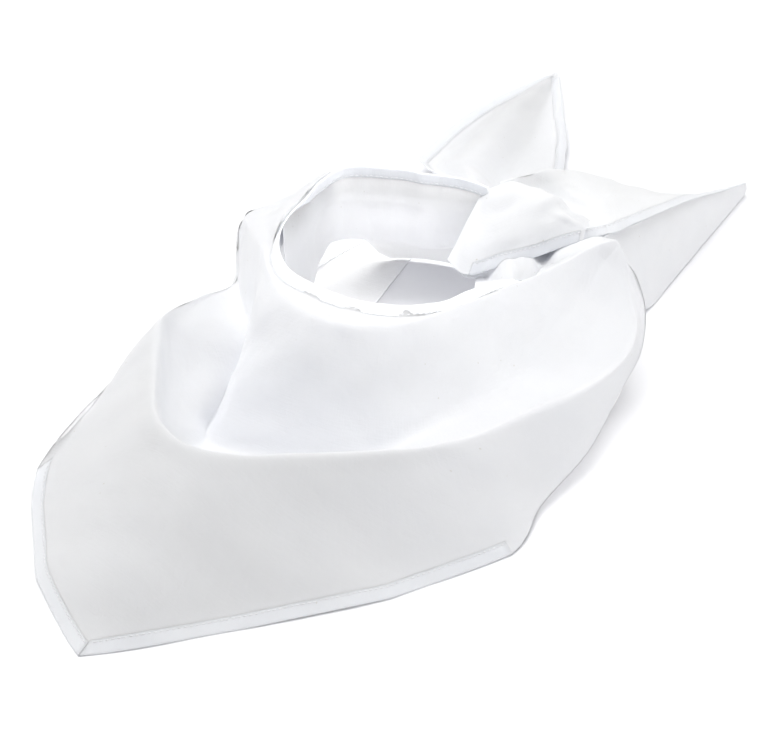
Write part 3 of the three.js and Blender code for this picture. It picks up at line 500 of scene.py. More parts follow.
@dataclass
class Cloth:
    """A sheet of cloth as a grid of points, its rows running from one border to the other."""

    name: str
    grid: np.ndarray
    thick: float = 0.55
    places: np.ndarray = field(default=None)
    normals: np.ndarray = field(default=None)

    def __post_init__(self) -> None:
        """Sets the flat places and the normals from the grid."""
        if self.places is None:
            self.places = flat_places(self.grid)
        self.refresh()

    def refresh(self) -> None:
        """Works out the normals again after the grid has changed."""
        self.grid[..., 2] = np.maximum(self.grid[..., 2], self.thick / 2 + 0.02)
        self.normals = normals_of(self.grid)

    def shift(self, height: np.ndarray) -> None:
        """Moves each point along its normal."""
        self.grid = self.grid + self.normals * height[..., None]
        self.refresh()

    def border(self, side: Side, rows: slice, distances: np.ndarray) -> tuple[np.ndarray, np.ndarray]:
        """Reads the surface at distances square to a border.

        Args:
            side: the border.
            rows: the rows that it runs past.
            distances: distances from the border, in millimetres.

        Returns:
            Places and normals, a row for each place along the border.
        """
        grid = self.grid[rows] if side is Side.START else self.grid[rows, ::-1]
        normal = self.normals[rows] if side is Side.START else self.normals[rows, ::-1]
        grid, normal = grid[:, :60], normal[:, :60]
        along = unit(np.gradient(grid[:, 0], axis=0))
        into = unit(eased(unit(grid[:, 6] - grid[:, 0])))
        square = np.maximum(np.linalg.norm(np.cross(along, into), axis=-1), 0.35)
        run = np.linalg.norm(np.diff(grid, axis=1), axis=-1).cumsum(axis=1) * square[:, None]
        run = np.concatenate([np.zeros((len(grid), 1)), run], axis=1)
        spots = np.empty((len(grid), len(distances), 3))
        turned = np.empty_like(spots)
        for i in range(len(grid)):
            for k in range(3):
                spots[i, :, k] = np.interp(distances, run[i], grid[i, :, k])
                turned[i, :, k] = np.interp(distances, run[i], normal[i, :, k])
        past = np.minimum(distances, 0)[None, :, None] / square[:, None, None]
        return spots + into[:, None, :] * past, unit(eased(turned))

    def build(self, material: bpy.types.Material) -> bpy.types.Object:
        """Makes the object: two faces a cloth's thickness apart, joined around the rim.

        Args:
            material: its finish.

        Returns:
            The object.
        """
        n, m = self.grid.shape[:2]
        step = self.normals * self.thick / 2
        layers = np.stack([self.grid + step, self.grid - step])
        layers[..., 2] = np.maximum(layers[..., 2], 0.0)
        points = np.concatenate([layers[0].reshape(-1, 3), layers[1].reshape(-1, 3)])
        i, j = np.meshgrid(np.arange(n - 1), np.arange(m - 1), indexing="ij")
        a = i * m + j
        top = np.stack([a, a + m, a + m + 1, a + 1], axis=-1).reshape(-1, 4)
        under = top[:, ::-1] + n * m
        ring = np.concatenate([np.arange(m - 1), np.arange(n - 1) * m + m - 1,
                               (n - 1) * m + np.arange(m - 1, 0, -1), np.arange(n - 1, 0, -1) * m])
        following = np.roll(ring, -1)
        rim = np.stack([ring, following, following + n * m, ring + n * m], axis=-1)
        places = np.concatenate([self.places.reshape(-1, 2)] * 2)
        made = make_object(self.name, points, np.concatenate([top, under, rim]), places, material)
        # The cut edge is crisp, or its shading would spread on to the faces
        ends = np.empty(2 * len(made.data.edges), dtype=np.int32)
        made.data.edges.foreach_get("vertices", ends)
        ends = np.sort(ends.reshape(-1, 2), axis=1)
        border = np.sort(np.concatenate([rim[:, :2], rim[:, 2:]]), axis=1)
        big = 2 * n * m
        made.data.edges.foreach_set("use_edge_sharp", np.isin(ends @ (big, 1), border @ (big, 1)))
        return made


@dataclass(frozen=True)
class Cotton:
    """Plain woven cotton, white and matte; its threads, slubs and a few specks of seed show close by."""

    name: str
    colour: str = "EEEFF2"
    shade: str = "E6E8ED"
    speck: str = "C9C4B8"
    weave_mm: float = 1.1
    bump: float = 0.10
    roughness: float = 0.82
    glow: float = 1.0
    depth_mm: float = 2.2

    def material(self) -> bpy.types.Material:
        """Makes the material on the flat cloth's own map.

        Returns:
            The material.
        """
        made = blank_material(self.name)
        tree = made.node_tree
        flat = node(tree, "ShaderNodeUVMap", uv_map="flat_cloth").outputs["UV"]
        # Threads are about 0.35 mm apart, too fine to show, so the weave is drawn three times as coarse
        pitch = self.weave_mm / 1000
        wave = {"Scale": 1 / pitch / 20 * math.pi, "Distortion": 1.2, "Detail": 2.0, "Detail Scale": 1.5}
        warp = node(tree, "ShaderNodeTexWave", {"Vector": flat, **wave}, bands_direction="X")
        weft = node(tree, "ShaderNodeTexWave", {"Vector": flat, **wave}, bands_direction="Y")
        woven = node(tree, "ShaderNodeMath", {0: warp.outputs["Fac"], 1: weft.outputs["Fac"]}, operation="MAXIMUM")
        # Slubs: thicker stretches of thread, 8 to 15 mm long
        along = node(tree, "ShaderNodeMapping", {"Vector": flat, "Scale": (90.0, 1400.0, 1.0)})
        across = node(tree, "ShaderNodeMapping", {"Vector": flat, "Scale": (1400.0, 90.0, 1.0)})
        slub_a = node(tree, "ShaderNodeTexNoise", {"Vector": along.outputs[0], "Scale": 1.0, "Detail": 2.0})
        slub_b = node(tree, "ShaderNodeTexNoise", {"Vector": across.outputs[0], "Scale": 1.0, "Detail": 2.0})
        slubs = node(tree, "ShaderNodeMath", {0: slub_a.outputs["Fac"], 1: slub_b.outputs["Fac"]}, operation="ADD")
        soft = node(tree, "ShaderNodeTexNoise", {"Vector": flat, "Scale": 26.0, "Detail": 3.0})
        tone = node(tree, "ShaderNodeMix", {"A": linear(self.colour), "B": linear(self.shade)}, data_type="RGBA")
        patch = node(tree, "ShaderNodeMapRange", {"Value": soft.outputs["Fac"], "From Min": 0.35, "From Max": 0.8,
                                                  "To Min": 0.0, "To Max": 0.5})
        tree.links.new(patch.outputs[0], tone.inputs["Factor"])
        # Specks of cotton seed, each under a millimetre, a few to a hand's breadth
        cells = node(tree, "ShaderNodeTexVoronoi", {"Vector": flat, "Scale": 120.0})
        near = node(tree, "ShaderNodeMapRange", {"Value": cells.outputs["Distance"], "From Min": 0.035,
                                                 "From Max": 0.075, "To Min": 1.0, "To Max": 0.0})
        pick = node(tree, "ShaderNodeSeparateColor", {"Color": cells.outputs["Color"]})
        few = node(tree, "ShaderNodeMath", {0: pick.outputs[0], 1: 0.72}, operation="GREATER_THAN")
        speck = node(tree, "ShaderNodeMath", {0: near.outputs[0], 1: few.outputs[0]}, operation="MULTIPLY")
        faint = node(tree, "ShaderNodeMath", {0: speck.outputs[0], 1: 0.45}, operation="MULTIPLY")
        base = node(tree, "ShaderNodeMix", {"A": tone.outputs["Result"], "B": linear(self.speck),
                                            "Factor": faint.outputs[0]}, data_type="RGBA")
        fine = node(tree, "ShaderNodeBump", {"Height": woven.outputs[0], "Strength": self.bump, "Distance": 0.0002})
        slubbed = node(tree, "ShaderNodeBump", {"Height": slubs.outputs[0], "Strength": 0.25, "Distance": 0.0003,
                                                "Normal": fine.outputs[0]})
        wavy = node(tree, "ShaderNodeTexNoise", {"Vector": flat, "Scale": 120.0, "Detail": 4.0, "Roughness": 0.55})
        crushed = node(tree, "ShaderNodeBump", {"Height": wavy.outputs["Fac"], "Strength": 0.2, "Distance": 0.0015,
                                                "Normal": slubbed.outputs[0]})
        shader = node(tree, "ShaderNodeBsdfPrincipled", {
            "Base Color": base.outputs["Result"], "Roughness": self.roughness, "Specular IOR Level": 0.25,
            "Subsurface Weight": self.glow, "Subsurface Radius": (1.0, 1.0, 1.0),
            "Subsurface Scale": self.depth_mm / 1000,
            "Sheen Weight": 0.25, "Sheen Roughness": 0.5, "Normal": crushed.outputs[0]})
        node(tree, "ShaderNodeOutputMaterial", {"Surface": shader.outputs[0]})
        return made


@dataclass(frozen=True)
class Thread:
    """Spun polyester sewing thread, white with a faint gloss."""

    name: str = "sewing_thread_white"
    colour: str = "F7F7F9"

    def material(self) -> bpy.types.Material:
        """Makes the material, with a fine twist along the object.

        Returns:
            The material.
        """
        made = blank_material(self.name)
        tree = made.node_tree
        place = node(tree, "ShaderNodeTexCoord").outputs["Object"]
        twist = node(tree, "ShaderNodeTexNoise", {"Vector": place, "Scale": 2200.0, "Detail": 1.0})
        tone = node(tree, "ShaderNodeMix", {"A": linear(self.colour), "B": linear("E4E5EA"),
                                            "Factor": twist.outputs["Fac"]}, data_type="RGBA")
        shader = node(tree, "ShaderNodeBsdfPrincipled", {"Base Color": tone.outputs["Result"], "Roughness": 0.55})
        node(tree, "ShaderNodeOutputMaterial", {"Surface": shader.outputs[0]})
        return made


@dataclass
class Hem:
    """A border turned over twice and stitched down, built on the surface that it borders."""

    name: str
    width: float = HEM_WIDTH
    half: float = 0.52
    stitch_at: float = 6.1
    stitch_pitch: float = 3.1

    def build(self, places: np.ndarray, normals: np.ndarray, material: bpy.types.Material,
              thread: bpy.types.Material, seed: int = 1) -> list[bpy.types.Object]:
        """Makes the band and its two rows of stitches.

        Args:
            places: surface places at the hem's distances, a row for each place along the border.
            normals: the surface normals there.
            material: the cotton.
            thread: the stitches' finish.
            seed: which puckers it gets.

        Returns:
            The band and the stitches.
        """
        heights = np.array([0.0, 0.5, 0.57, 0.59, 0.59, 0.56, 0.42, 0.5, 0.48, 0.3]) / 0.62 * self.half
        run = np.linalg.norm(np.diff(places[:, 0], axis=0), axis=-1).cumsum()
        run = np.concatenate([[0], run])
        rng = np.random.default_rng(seed)
        pucker = np.zeros(len(run))
        for wave, share in ((5.0, 0.02), (9.0, 0.04), (17.0, 0.07), (31.0, 0.09)):
            pucker += share * np.sin(2 * math.pi * run / (wave * rng.uniform(0.9, 1.1)) + rng.uniform(0, 6))
        swell = np.array([0, 1, 1, 1, 1, 0.6, 0.1, 0.5, 0.4, 0.1])
        lift = heights[None, :] + pucker[:, None] * swell[None, :]
        top = places + normals * lift[..., None]
        under = places - normals * (heights[None, :] - 0.5 * pucker[:, None] * swell[None, :])[..., None]
        ring = np.concatenate([top, under[:, :0:-1]], axis=1)
        if ring.shape[1] % 2:
            ring = np.concatenate([ring, 0.5 * (ring[:, -1:] + ring[:, :1])], axis=1)
        ring[..., 2] = np.maximum(ring[..., 2], 0.0)
        size = ring.shape[1]
        points = ring.reshape(-1, 3)
        faces = outward(points, tube_faces(len(ring), size))
        flat = np.stack([np.repeat(run[:, None], size, axis=1),
                         np.repeat(np.linspace(0, 2 * self.width, size)[None, :], len(run), axis=0)], axis=-1)
        band = make_object(self.name, points, faces, flat.reshape(-1, 2) + seed * 37.0, material)
        sewn = self.stitches(places[:, STITCH_LINE], normals[:, STITCH_LINE], lift[:, STITCH_LINE], run, thread)
        return [band, sewn]

    def stitches(self, path: np.ndarray, normals: np.ndarray, lift: np.ndarray, run: np.ndarray,
                 thread: bpy.types.Material) -> bpy.types.Object:
        """Makes the rows of stitches on both faces, as one object of short tapered threads.

        Args:
            path: the line of the stitches on the surface.
            normals: the surface normals there.
            lift: the hem's height there.
            run: the length along the border.
            thread: the finish.

        Returns:
            The object.
        """
        centres = np.arange(self.stitch_pitch, run[-1] - self.stitch_pitch, self.stitch_pitch)
        spot = np.stack([np.interp(centres, run, path[:, k]) for k in range(3)], axis=-1)
        up = unit(np.stack([np.interp(centres, run, normals[:, k]) for k in range(3)], axis=-1))
        way = unit(np.stack([np.interp(centres, run, np.gradient(path[:, k])) for k in range(3)], axis=-1))
        rise = np.interp(centres, run, lift)
        across = unit(np.cross(up, way))
        shares = np.array([-1.0, -0.7, 0.0, 0.7, 1.0])
        fat = np.array([0.12, 0.26, 0.3, 0.26, 0.12])
        dip = np.array([0.35, 0.1, 0.0, 0.1, 0.35])
        points, faces = [], []
        base = tube_faces(len(shares), 6)
        for p, n, w, a, h in zip(spot, up, way, across, rise):
            for face in (1, -1):
                rings = []
                for share, r, d in zip(shares, fat, dip):
                    middle = p + n * face * (h + 0.12 - d) + w * share * 1.15
                    angle = np.arange(6) * math.pi / 3
                    rings.append(middle + np.cos(angle)[:, None] * a * r + np.sin(angle)[:, None] * n * face * r * 0.8)
                faces.append((base if face > 0 else base[:, ::-1]) + len(points) * 30)
                points.append(np.concatenate(rings))
        points = np.concatenate(points)
        faces = outward(points, np.concatenate(faces))
        points[:, 2] = np.maximum(points[:, 2], 0.0)
        return make_object(self.name + "_stitches", points, faces, points[:, :2], thread)

    def distances(self) -> np.ndarray:
        """Gives the distances from the border at which the surface is read."""
        return np.array([-0.35, 0.0, 0.9, 2.4, 4.2, 5.5, self.stitch_at, 6.7, 7.3, self.width])


@dataclass
class Finishes:
    """The materials that the pieces share: the cotton, paler copies of its colour as painted light, a greyer copy as
    painted shade on the hems, and the thread.
    """

    cotton: bpy.types.Material
    # inside, single and under: paler copies of the cotton's colour, painted light
    inside: bpy.types.Material
    single: bpy.types.Material
    under: bpy.types.Material
    # hemmed: a greyer copy of the cotton's colour, painted shade
    hemmed: bpy.types.Material
    thread: bpy.types.Material


def bib_grid(rows: np.ndarray, down: int) -> np.ndarray:
    """Gives the bib from the neck rim to its edge.

    Args:
        rows: places along it, as fractions of the section index.
        down: the number of points in a row.

    Returns:
        The grid.
    """
    starts = spline(START.column("at"), rows)
    t = uprightness(starts)
    rim, way = rim_at(starts), hem_way(starts)
    beside = rim + polar(starts, 2.2, -0.6)
    down_by = np.array([0, 0, 1.0])
    lead = [rim * (1 - t) + (beside - 15 * down_by) * t,
            (rim + way * 3.9) * (1 - t) + (beside - 6 * down_by) * t]
    first = (rim + way * (HEM_WIDTH + 0.3)) * (1 - t) + beside * t
    lines = [None] + [polar(table.column("at"), size * table.column("reach"), high * table.column("top"))
                      for table, size, high in ((CREST, NECK_RADIUS, COLLAR_HEIGHT), (POCKET, COWL_REACH, COWL_HEIGHT),
                                                (RIDGE, COWL_REACH, COWL_HEIGHT), (EDGE, BIB_REACH, COLLAR_HEIGHT))]
    at = START.column("at")
    row_t = uprightness(at)
    lines[0] = ((rim_at(at) + hem_way(at) * (HEM_WIDTH + 0.3)) * (1 - row_t)
                + (rim_at(at) + polar(at, 2.2, -0.6)) * row_t)
    columns = []
    for number, share, sag in PROFILE.rows:
        a, b = lines[int(number)], lines[min(int(number) + 1, 4)]
        span = np.minimum(np.linalg.norm(b - a, axis=-1) / NECK_RADIUS, 1)
        p = a + (b - a) * share
        p[:, 2] -= sag * COLLAR_HEIGHT * span
        if number == 2 and share > 0:
            # Behind the cowl's ridge the cloth drops steeply into the pocket
            steep = np.clip((b[:, 2] - a[:, 2] - 8) / 20, 0, 1)
            p[:, 2] -= steep * (b[:, 2] - a[:, 2]) * {0.35: 0.14, 0.7: 0.42, 0.88: 0.45}[share]
        columns.append(spline(p, rows))
    columns[0] = first
    hemmed = (rows >= FIRST_HEMMED) & (rows <= LAST_HEMMED)
    i = np.clip(np.floor(rows).astype(int), 0, len(at) - 2)
    straight = lines[4][i] + (lines[4][i + 1] - lines[4][i]) * (rows - i)[:, None]
    rounded = 0.25 * columns[-1] + 0.75 * straight
    columns[-1] = np.where(hemmed[:, None], rounded, columns[-1])
    points = np.stack(lead + columns)
    places = np.concatenate([[0, 1], 2 + np.linspace(0, len(columns) - 1, down - 2)])
    return spline(points, places).transpose(1, 0, 2)


@dataclass
class Bib:
    """The front drape with its collar, pocket and cowl, and the cloth turned under it at both sides."""

    finishes: Finishes
    rows: np.ndarray = field(default_factory=lambda: np.linspace(0, 21, 253))
    down: int = 190
    pieces: list[bpy.types.Object] = field(default_factory=list)

    def shape(self) -> Cloth:
        """Works out the drape's surface with its creases.

        Returns:
            The sheet.
        """
        sheet = Cloth("bib_drape", bib_grid(self.rows, self.down))
        depth = np.clip(sheet.places[..., 1] / 26, 0, 1)
        edge = np.clip((sheet.places[:, -1:, 1] - sheet.places[..., 1]) / 18, 0, 1)
        soft = Wrinkles(11, 74, 0.75).at(sheet.places) + Wrinkles(12, 27, 0.18).at(sheet.places)
        sheet.shift(soft * depth * (0.35 + 0.65 * edge))
        return sheet

    def left_rows(self) -> np.ndarray:
        """Tells which rows end on the fold at the left."""
        return (self.rows >= LAST_HEMMED - 1e-6) & (self.rows <= 18 + 1e-6)

    def left_under(self, sheet: Cloth) -> Cloth:
        """Works out the cloth turned under at the left, from the drape's edge and on past it.

        Args:
            sheet: the drape.

        Returns:
            The sheet.
        """
        edge = sheet.grid[self.left_rows(), -1]
        table_y = LEFT_UNDER.column("along") * UNDER_REACH
        behind = np.linspace(7, len(table_y) - 1, 60)[1:]
        y = np.concatenate([edge[:, 1], spline(table_y, behind)])
        index = np.interp(y, table_y, np.arange(len(table_y)))
        read = {name: spline(LEFT_UNDER.column(name), index) for name in ("foot", "hem")}
        top = np.concatenate([edge, np.stack([-spline(LEFT_UNDER.column("top"), behind) * UNDER_WIDTH,
                                              spline(table_y, behind),
                                              spline(LEFT_UNDER.column("high"), behind) * COLLAR_HEIGHT], axis=-1)])
        tall = top[:, 2]

        def place(share: np.ndarray, height: np.ndarray) -> np.ndarray:
            """Gives places at shares of the turned-under width and at a height."""
            return np.stack([-share * UNDER_WIDTH, y, height + 0 * share], axis=-1)
        foot, end = read["foot"], read["hem"]
        half = top * 0.5 + place(foot, 0 * foot) * 0.5
        half[:, 2] = 0.5 * tall
        points = np.stack([top, half, place(foot, 0.1 * tall + 0.5), place(foot + 0.06 * (end - foot), 0.5 + 0 * foot),
                           place((foot + end) / 2, 0.5 + 0 * foot), place(end, 0.5 + 0 * foot)])
        return Cloth("left_turned_under", spline(points, np.linspace(0, 5, 64)).transpose(1, 0, 2))

    def right_under(self, sheet: Cloth) -> Cloth:
        """Works out the cloth turned under at the right.

        Args:
            sheet: the drape.

        Returns:
            The sheet.
        """
        keep = self.rows <= 6.4
        edge = sheet.grid[keep, -1]
        rows = np.minimum(self.rows[keep], 6)
        at, foot, end = (spline(RIGHT_UNDER.column(name), rows) for name in ("at", "foot", "hem"))
        tall = edge[:, 2]

        def place(share: np.ndarray, height: np.ndarray) -> np.ndarray:
            """Gives places at shares of the bib's reach and at a height."""
            return polar(at, share * BIB_REACH, height)
        points = np.stack([edge, edge * 0.5 + place(foot, 0 * foot) * 0.5, place(foot + 0.004, 0.08 * tall + 0.5),
                           place(foot - 0.02, 0.5 + 0 * foot), place((foot + end) / 2, 0.5 + 0 * foot),
                           place(end, 0.5 + 0 * foot)])
        return Cloth("right_turned_under", spline(points, np.linspace(0, 5, 56)).transpose(1, 0, 2))

    def build(self) -> list[bpy.types.Object]:
        """Makes the drape, the cloth turned under it and the hems along its two short edges.

        Returns:
            The pieces.
        """
        sheet = self.shape()
        left, right = self.left_under(sheet), self.right_under(sheet)
        for part, rows in ((left, self.left_rows()), (right, self.rows <= 6.4)):
            count = int(rows.sum())
            if (part.normals[:count, 0] * sheet.normals[rows, -1]).sum() < 0:
                part.normals = -part.normals
            shared = unit(part.normals[:count, 0] + sheet.normals[rows, -1])
            part.normals[:count, 0] = shared
            sheet.normals[rows, -1] = shared
        self.pieces = [sheet.build(self.finishes.cotton), left.build(self.finishes.under),
                       right.build(self.finishes.under)]
        for name, first, last, seed in (("bib_hem_right_sewn", FIRST_HEMMED, CORNER_ROW, 3),
                                        ("bib_hem_left_sewn", CORNER_ROW, LAST_HEMMED, 4)):
            hem = Hem(name)
            inside = np.flatnonzero((self.rows >= first - 1e-6) & (self.rows <= last + 1e-6))
            rows = slice(inside[0], inside[-1] + 1)
            self.pieces += hem.build(*sheet.border(Side.END, rows, hem.distances()), self.finishes.hemmed,
                                     self.finishes.thread, seed)
        return self.pieces


@dataclass
class NeckBand:
    """The back of the loop: inner wall, bottom fold, outer layer and the cloth that falls behind it."""

    finishes: Finishes
    count: int = 190
    pieces: list[bpy.types.Object] = field(default_factory=list)

    def shape(self) -> Cloth:
        """Works out the surface from the rim down the inside, up the outside and over.

        Returns:
            The sheet.
        """
        at = np.linspace(BAND.rows[0][0], BAND.rows[-1][0], self.count)
        rim = rim_at(at)
        out = polar(at, 1.0, 0.0 * at)
        top = rim[:, 2]
        bottom = by_azimuth(BAND, "low", at) * COLLAR_HEIGHT
        fold = by_azimuth(BAND, "thick", at) * NECK_RADIUS
        high = by_azimuth(BAND, "high", at) * COLLAR_HEIGHT
        flap = by_azimuth(BAND, "flap", at)

        def place(reach: np.ndarray, height: np.ndarray) -> np.ndarray:
            """Gives places at a reach past the rim and at a height.

            Args:
                reach: how far out from the rim.
                height: the height above the table.

            Returns:
                The places.
            """
            p = rim + out * (reach + 0 * at)[:, None]
            p[:, 2] = height
            return p
        tall = top - bottom
        reach = np.array([1.5] * len(at)) * NECK_RADIUS - np.linalg.norm(rim[:, :2], axis=-1)
        start = 1.1 * fold + 1.6
        foot = np.maximum(high * (1 - flap), 2.6)
        far = start + (reach - start) * np.clip(flap * 1.2 - 0.2, 0.06, 1)
        columns = [place(0, top), place(-0.02 * fold, top - 7.5), place(-0.06 * fold, top - 0.3 * tall),
                   place(0.18 * fold, top - 0.48 * tall), place(-0.1 * fold, top - 0.72 * tall),
                   place(0, bottom + 0.24 * fold), place(0.35 * fold, bottom), place(0.75 * fold, bottom + 0.2 * fold),
                   place(fold, bottom + 0.6 * (high - bottom)), place(1.02 * fold, high - 1.5),
                   place(1.1 * fold + 0.8, high), place(start + 1.2, high - 1.8),
                   place(start + (far - start) * 0.34, foot + 0.62 * (high - foot)),
                   place(start + (far - start) * 0.6, foot + 0.26 * (high - foot)), place(far, foot)]
        grid = spline(np.stack(columns), np.linspace(0, len(columns) - 1, 190)).transpose(1, 0, 2)
        sheet = Cloth("loop_band", grid, thick=0.4)
        inner = np.clip((sheet.places[..., 1] - 9) / 20, 0, 1)
        sheet.shift((Wrinkles(21, 46, 0.8, grain=0.5 * math.pi, spread=1.2).at(sheet.places)
                     + Wrinkles(22, 19, 0.15).at(sheet.places)) * inner)
        return sheet

    def build(self) -> list[bpy.types.Object]:
        """Makes the band and the hem around the whole neck rim.

        Returns:
            The pieces.
        """
        self.pieces = [self.shape().build(self.finishes.inside)]
        at = np.linspace(31, -292.5, 460)
        rim, way = rim_at(at), hem_way(at)
        along = unit(np.gradient(rim, axis=0))
        normal = unit(np.cross(along, way))
        hem = Hem("neck_hem_sewn", half=0.6)
        spots = rim[:, None, :] + way[:, None, :] * hem.distances()[None, :, None]
        self.pieces += hem.build(spots, np.repeat(normal[:, None, :], spots.shape[1], axis=1), self.finishes.hemmed,
                                 self.finishes.thread, 5)
        return self.pieces


@dataclass
class Knot:
    """The knot: the wrap, the gathered cloth inside it and the pleats that run in from the drape."""

    finishes: Finishes
    sheet: Cloth | None = None
    pieces: list[bpy.types.Object] = field(default_factory=list)

    def wrap(self) -> Cloth:
        """Works out the cloth that goes round the knot.

        Returns:
            The sheet.
        """
        front, top, back, base = (KNOT.points(c) for c in "ftbu")
        belly = front + (top - front) * 0.45 + KNOT.column("belly")[:, None] * np.array([0, -2.6, 6.4])
        tuck = front + (base - front) * 0.2 - np.array([0, 0, 3.7])
        grid = lofted(np.stack([front, belly, top, back, base, tuck], axis=1), 120, 170)
        sheet = Cloth("knot_wrap_cloth", grid)
        ease = np.clip(sheet.places[..., 1] / 10, 0, 1)
        folds = Crease(((44, 50, 74), (60, 66, 80), (74, 80, 76)), 6, -0.9).at(grid)
        folds += Crease(((66, 84, 88), (76, 84, 80), (84, 86, 70)), 3.2, -1.5).at(grid)
        folds += Crease(((70, 74, 80), (80, 82, 73), (88, 90, 66)), 2.6, 1.4).at(grid)
        folds += Crease(((34, 44, 64), (40, 60, 76), (46, 76, 88)), 6, -1.0).at(grid)
        sheet.shift((folds + Wrinkles(31, 22, 0.35).at(sheet.places)) * ease)
        return sheet

    def core(self) -> bpy.types.Object:
        """Makes the gathered roll inside the wrap.

        Returns:
            The object.
        """
        middle = spline(np.array([[38, 57, 61], [50, 67, 62.5], [64, 79, 61]]), np.linspace(0, 2, 60))
        across = np.array([-0.6, 0.8, 0.0])
        rings = []
        for i, p in enumerate(middle):
            swell = 10.3 + 6 * math.sin(math.pi * i / 59)
            angle = np.arange(96) * 2 * math.pi / 96
            reach = swell * (1 + 0.07 * np.cos(angle * 9 + 0.05 * i) + 0.03 * np.cos(angle * 17 + 1))
            rings.append(p + np.cos(angle)[:, None] * reach[:, None] * across
                         + np.sin(angle)[:, None] * reach[:, None] * 0.8 * np.array([0, 0, 1.0]))
        points = np.concatenate(rings)
        faces = outward(points, tube_faces(60, 96))
        flat = np.stack(np.meshgrid(np.arange(60) * 0.6, np.arange(96) * 0.9, indexing="ij"), axis=-1).reshape(-1, 2)
        return make_object("knot_gathers", points, faces, flat, self.finishes.cotton)

    def pleats(self) -> Cloth:
        """Works out the pleated cloth that runs from the drape up under the wrap.

        Returns:
            The sheet.
        """
        rows = np.linspace(0, len(PLEATS.rows) - 1, 170)
        a, b = (spline(PLEATS.points(c), rows) for c in "lh")
        shares = np.linspace(-0.25, 1.25, 60)
        grid = a[:, None, :] * (1 - shares[None, :, None]) + b[:, None, :] * shares[None, :, None]
        grid[..., 2] -= 5 * (shares[None, :] - 0.6) ** 2
        run = rows[:, None] + 0.5 * shares[None, :]
        grid[..., 2] += (0.7 * np.sin(run * 3.4) + 0.2 * np.sin(run * 7.3 + 1)) * np.clip((7 - rows[:, None]) / 3, 0, 1)
        return Cloth("knot_pleats", grid)

    def build(self) -> list[bpy.types.Object]:
        """Makes the pieces of the knot.

        Returns:
            The pieces.
        """
        self.sheet = self.wrap()
        self.pieces = [self.sheet.build(self.finishes.single), self.core(), self.pleats().build(self.finishes.cotton)]
        return self.pieces


@dataclass
class RightTail:
    """The end of the cloth that leaves the knot to the right: top layer, folded back edge and front face."""

    finishes: Finishes
    rows: int = 230
    pieces: list[bpy.types.Object] = field(default_factory=list)

    def top(self) -> Cloth:
        """Works out the top layer, its back fold and the layer beneath.

        Returns:
            The sheet.
        """
        front, middle, back = (TAIL_TOP.points(c) for c in "fmb")
        drop = np.minimum(0.09 * back[:, 2], 5)[:, None] * np.array([0, 0, 1.0])
        out = unit((back - front) * np.array([1, 1, 0]))
        lines = np.stack([front, front * 0.5 + middle * 0.5 + np.array([0, 0, 0.5]), middle,
                          middle * 0.45 + back * 0.55,
                          back - out * 1.0, back + out * 0.3 - 0.35 * drop, back - out * 1.6 - 0.9 * drop,
                          middle - 1.5 * drop, front - 1.7 * drop + out * 2.5], axis=1)
        grid = lofted(lines, self.rows, 130)
        sheet = Cloth("right_tail_top", grid)
        ease = np.clip(sheet.places[..., 1] / 10, 0, 1) * np.clip(grid[..., 2] / 20, 0, 1)
        sheet.shift(Wrinkles(41, 30, 0.5).at(sheet.places) * ease)
        return sheet

    def face(self) -> Cloth:
        """Works out the front face that stands on the table.

        Returns:
            The sheet.
        """
        front = TAIL_TOP.points("f")[3:]
        front[0] = (88, 84, 57)
        share = np.array([0.62, 0.85, 1, 1, 1, 1, 1, 1, 1])
        table = np.stack([0 * share + TAIL_FOOT, front[:, 1], 0.4 + 0 * share], axis=-1)
        foot = front * (1 - share[:, None]) + table * share[:, None]
        top = front + np.array([0.2, 0, -0.3])
        lines = np.stack([top, top * 0.66 + foot * 0.34 + np.array([0.8, 0, 0]),
                          top * 0.3 + foot * 0.7 + np.array([0.5, 0, 0]), foot, foot + np.array([-9, 0, 0.1])], axis=1)
        grid = lofted(lines, 220, 90)
        sheet = Cloth("right_tail_front", grid)
        folds = Crease(((105, 150, 50), (108, 160, 42), (112, 166, 30)), 2.6, -0.9).at(grid)
        folds += Crease(((112, 150, 24), (115, 190, 20), (118, 225, 12)), 9, 1.2).at(grid)
        sheet.shift(folds + Wrinkles(42, 34, 0.45).at(sheet.places) * np.clip(grid[..., 2] / 18, 0, 1))
        return sheet

    def build(self, wrap: Cloth) -> list[bpy.types.Object]:
        """Makes the tail and the hem that runs along the knot's wrap and the tail's ridge.

        Args:
            wrap: the knot's wrap, whose border the hem follows first.

        Returns:
            The pieces.
        """
        top, face = self.top(), self.face()
        self.pieces = [top.build(self.finishes.single), face.build(self.finishes.cotton)]
        hem = Hem("ridge_hem_sewn")
        first = wrap.border(Side.START, slice(27, 114), hem.distances())
        start = int(self.rows * 4.0 / (len(TAIL_TOP.rows) - 1))
        second = top.border(Side.START, slice(start, self.rows), hem.distances())
        a, b = first[0][-1], second[0][0]
        steps = max(int(np.linalg.norm(b[0] - a[0]) / 1.0), 2)
        share = np.linspace(0, 1, steps + 1)[1:-1, None, None]
        spots = np.concatenate([first[0], a * (1 - share) + b * share, second[0]])
        turned = np.concatenate([first[1], unit(first[1][-1] * (1 - share) + second[1][0] * share), second[1]])
        self.pieces += hem.build(spots, turned, self.finishes.hemmed, self.finishes.thread, 6)
        return self.pieces


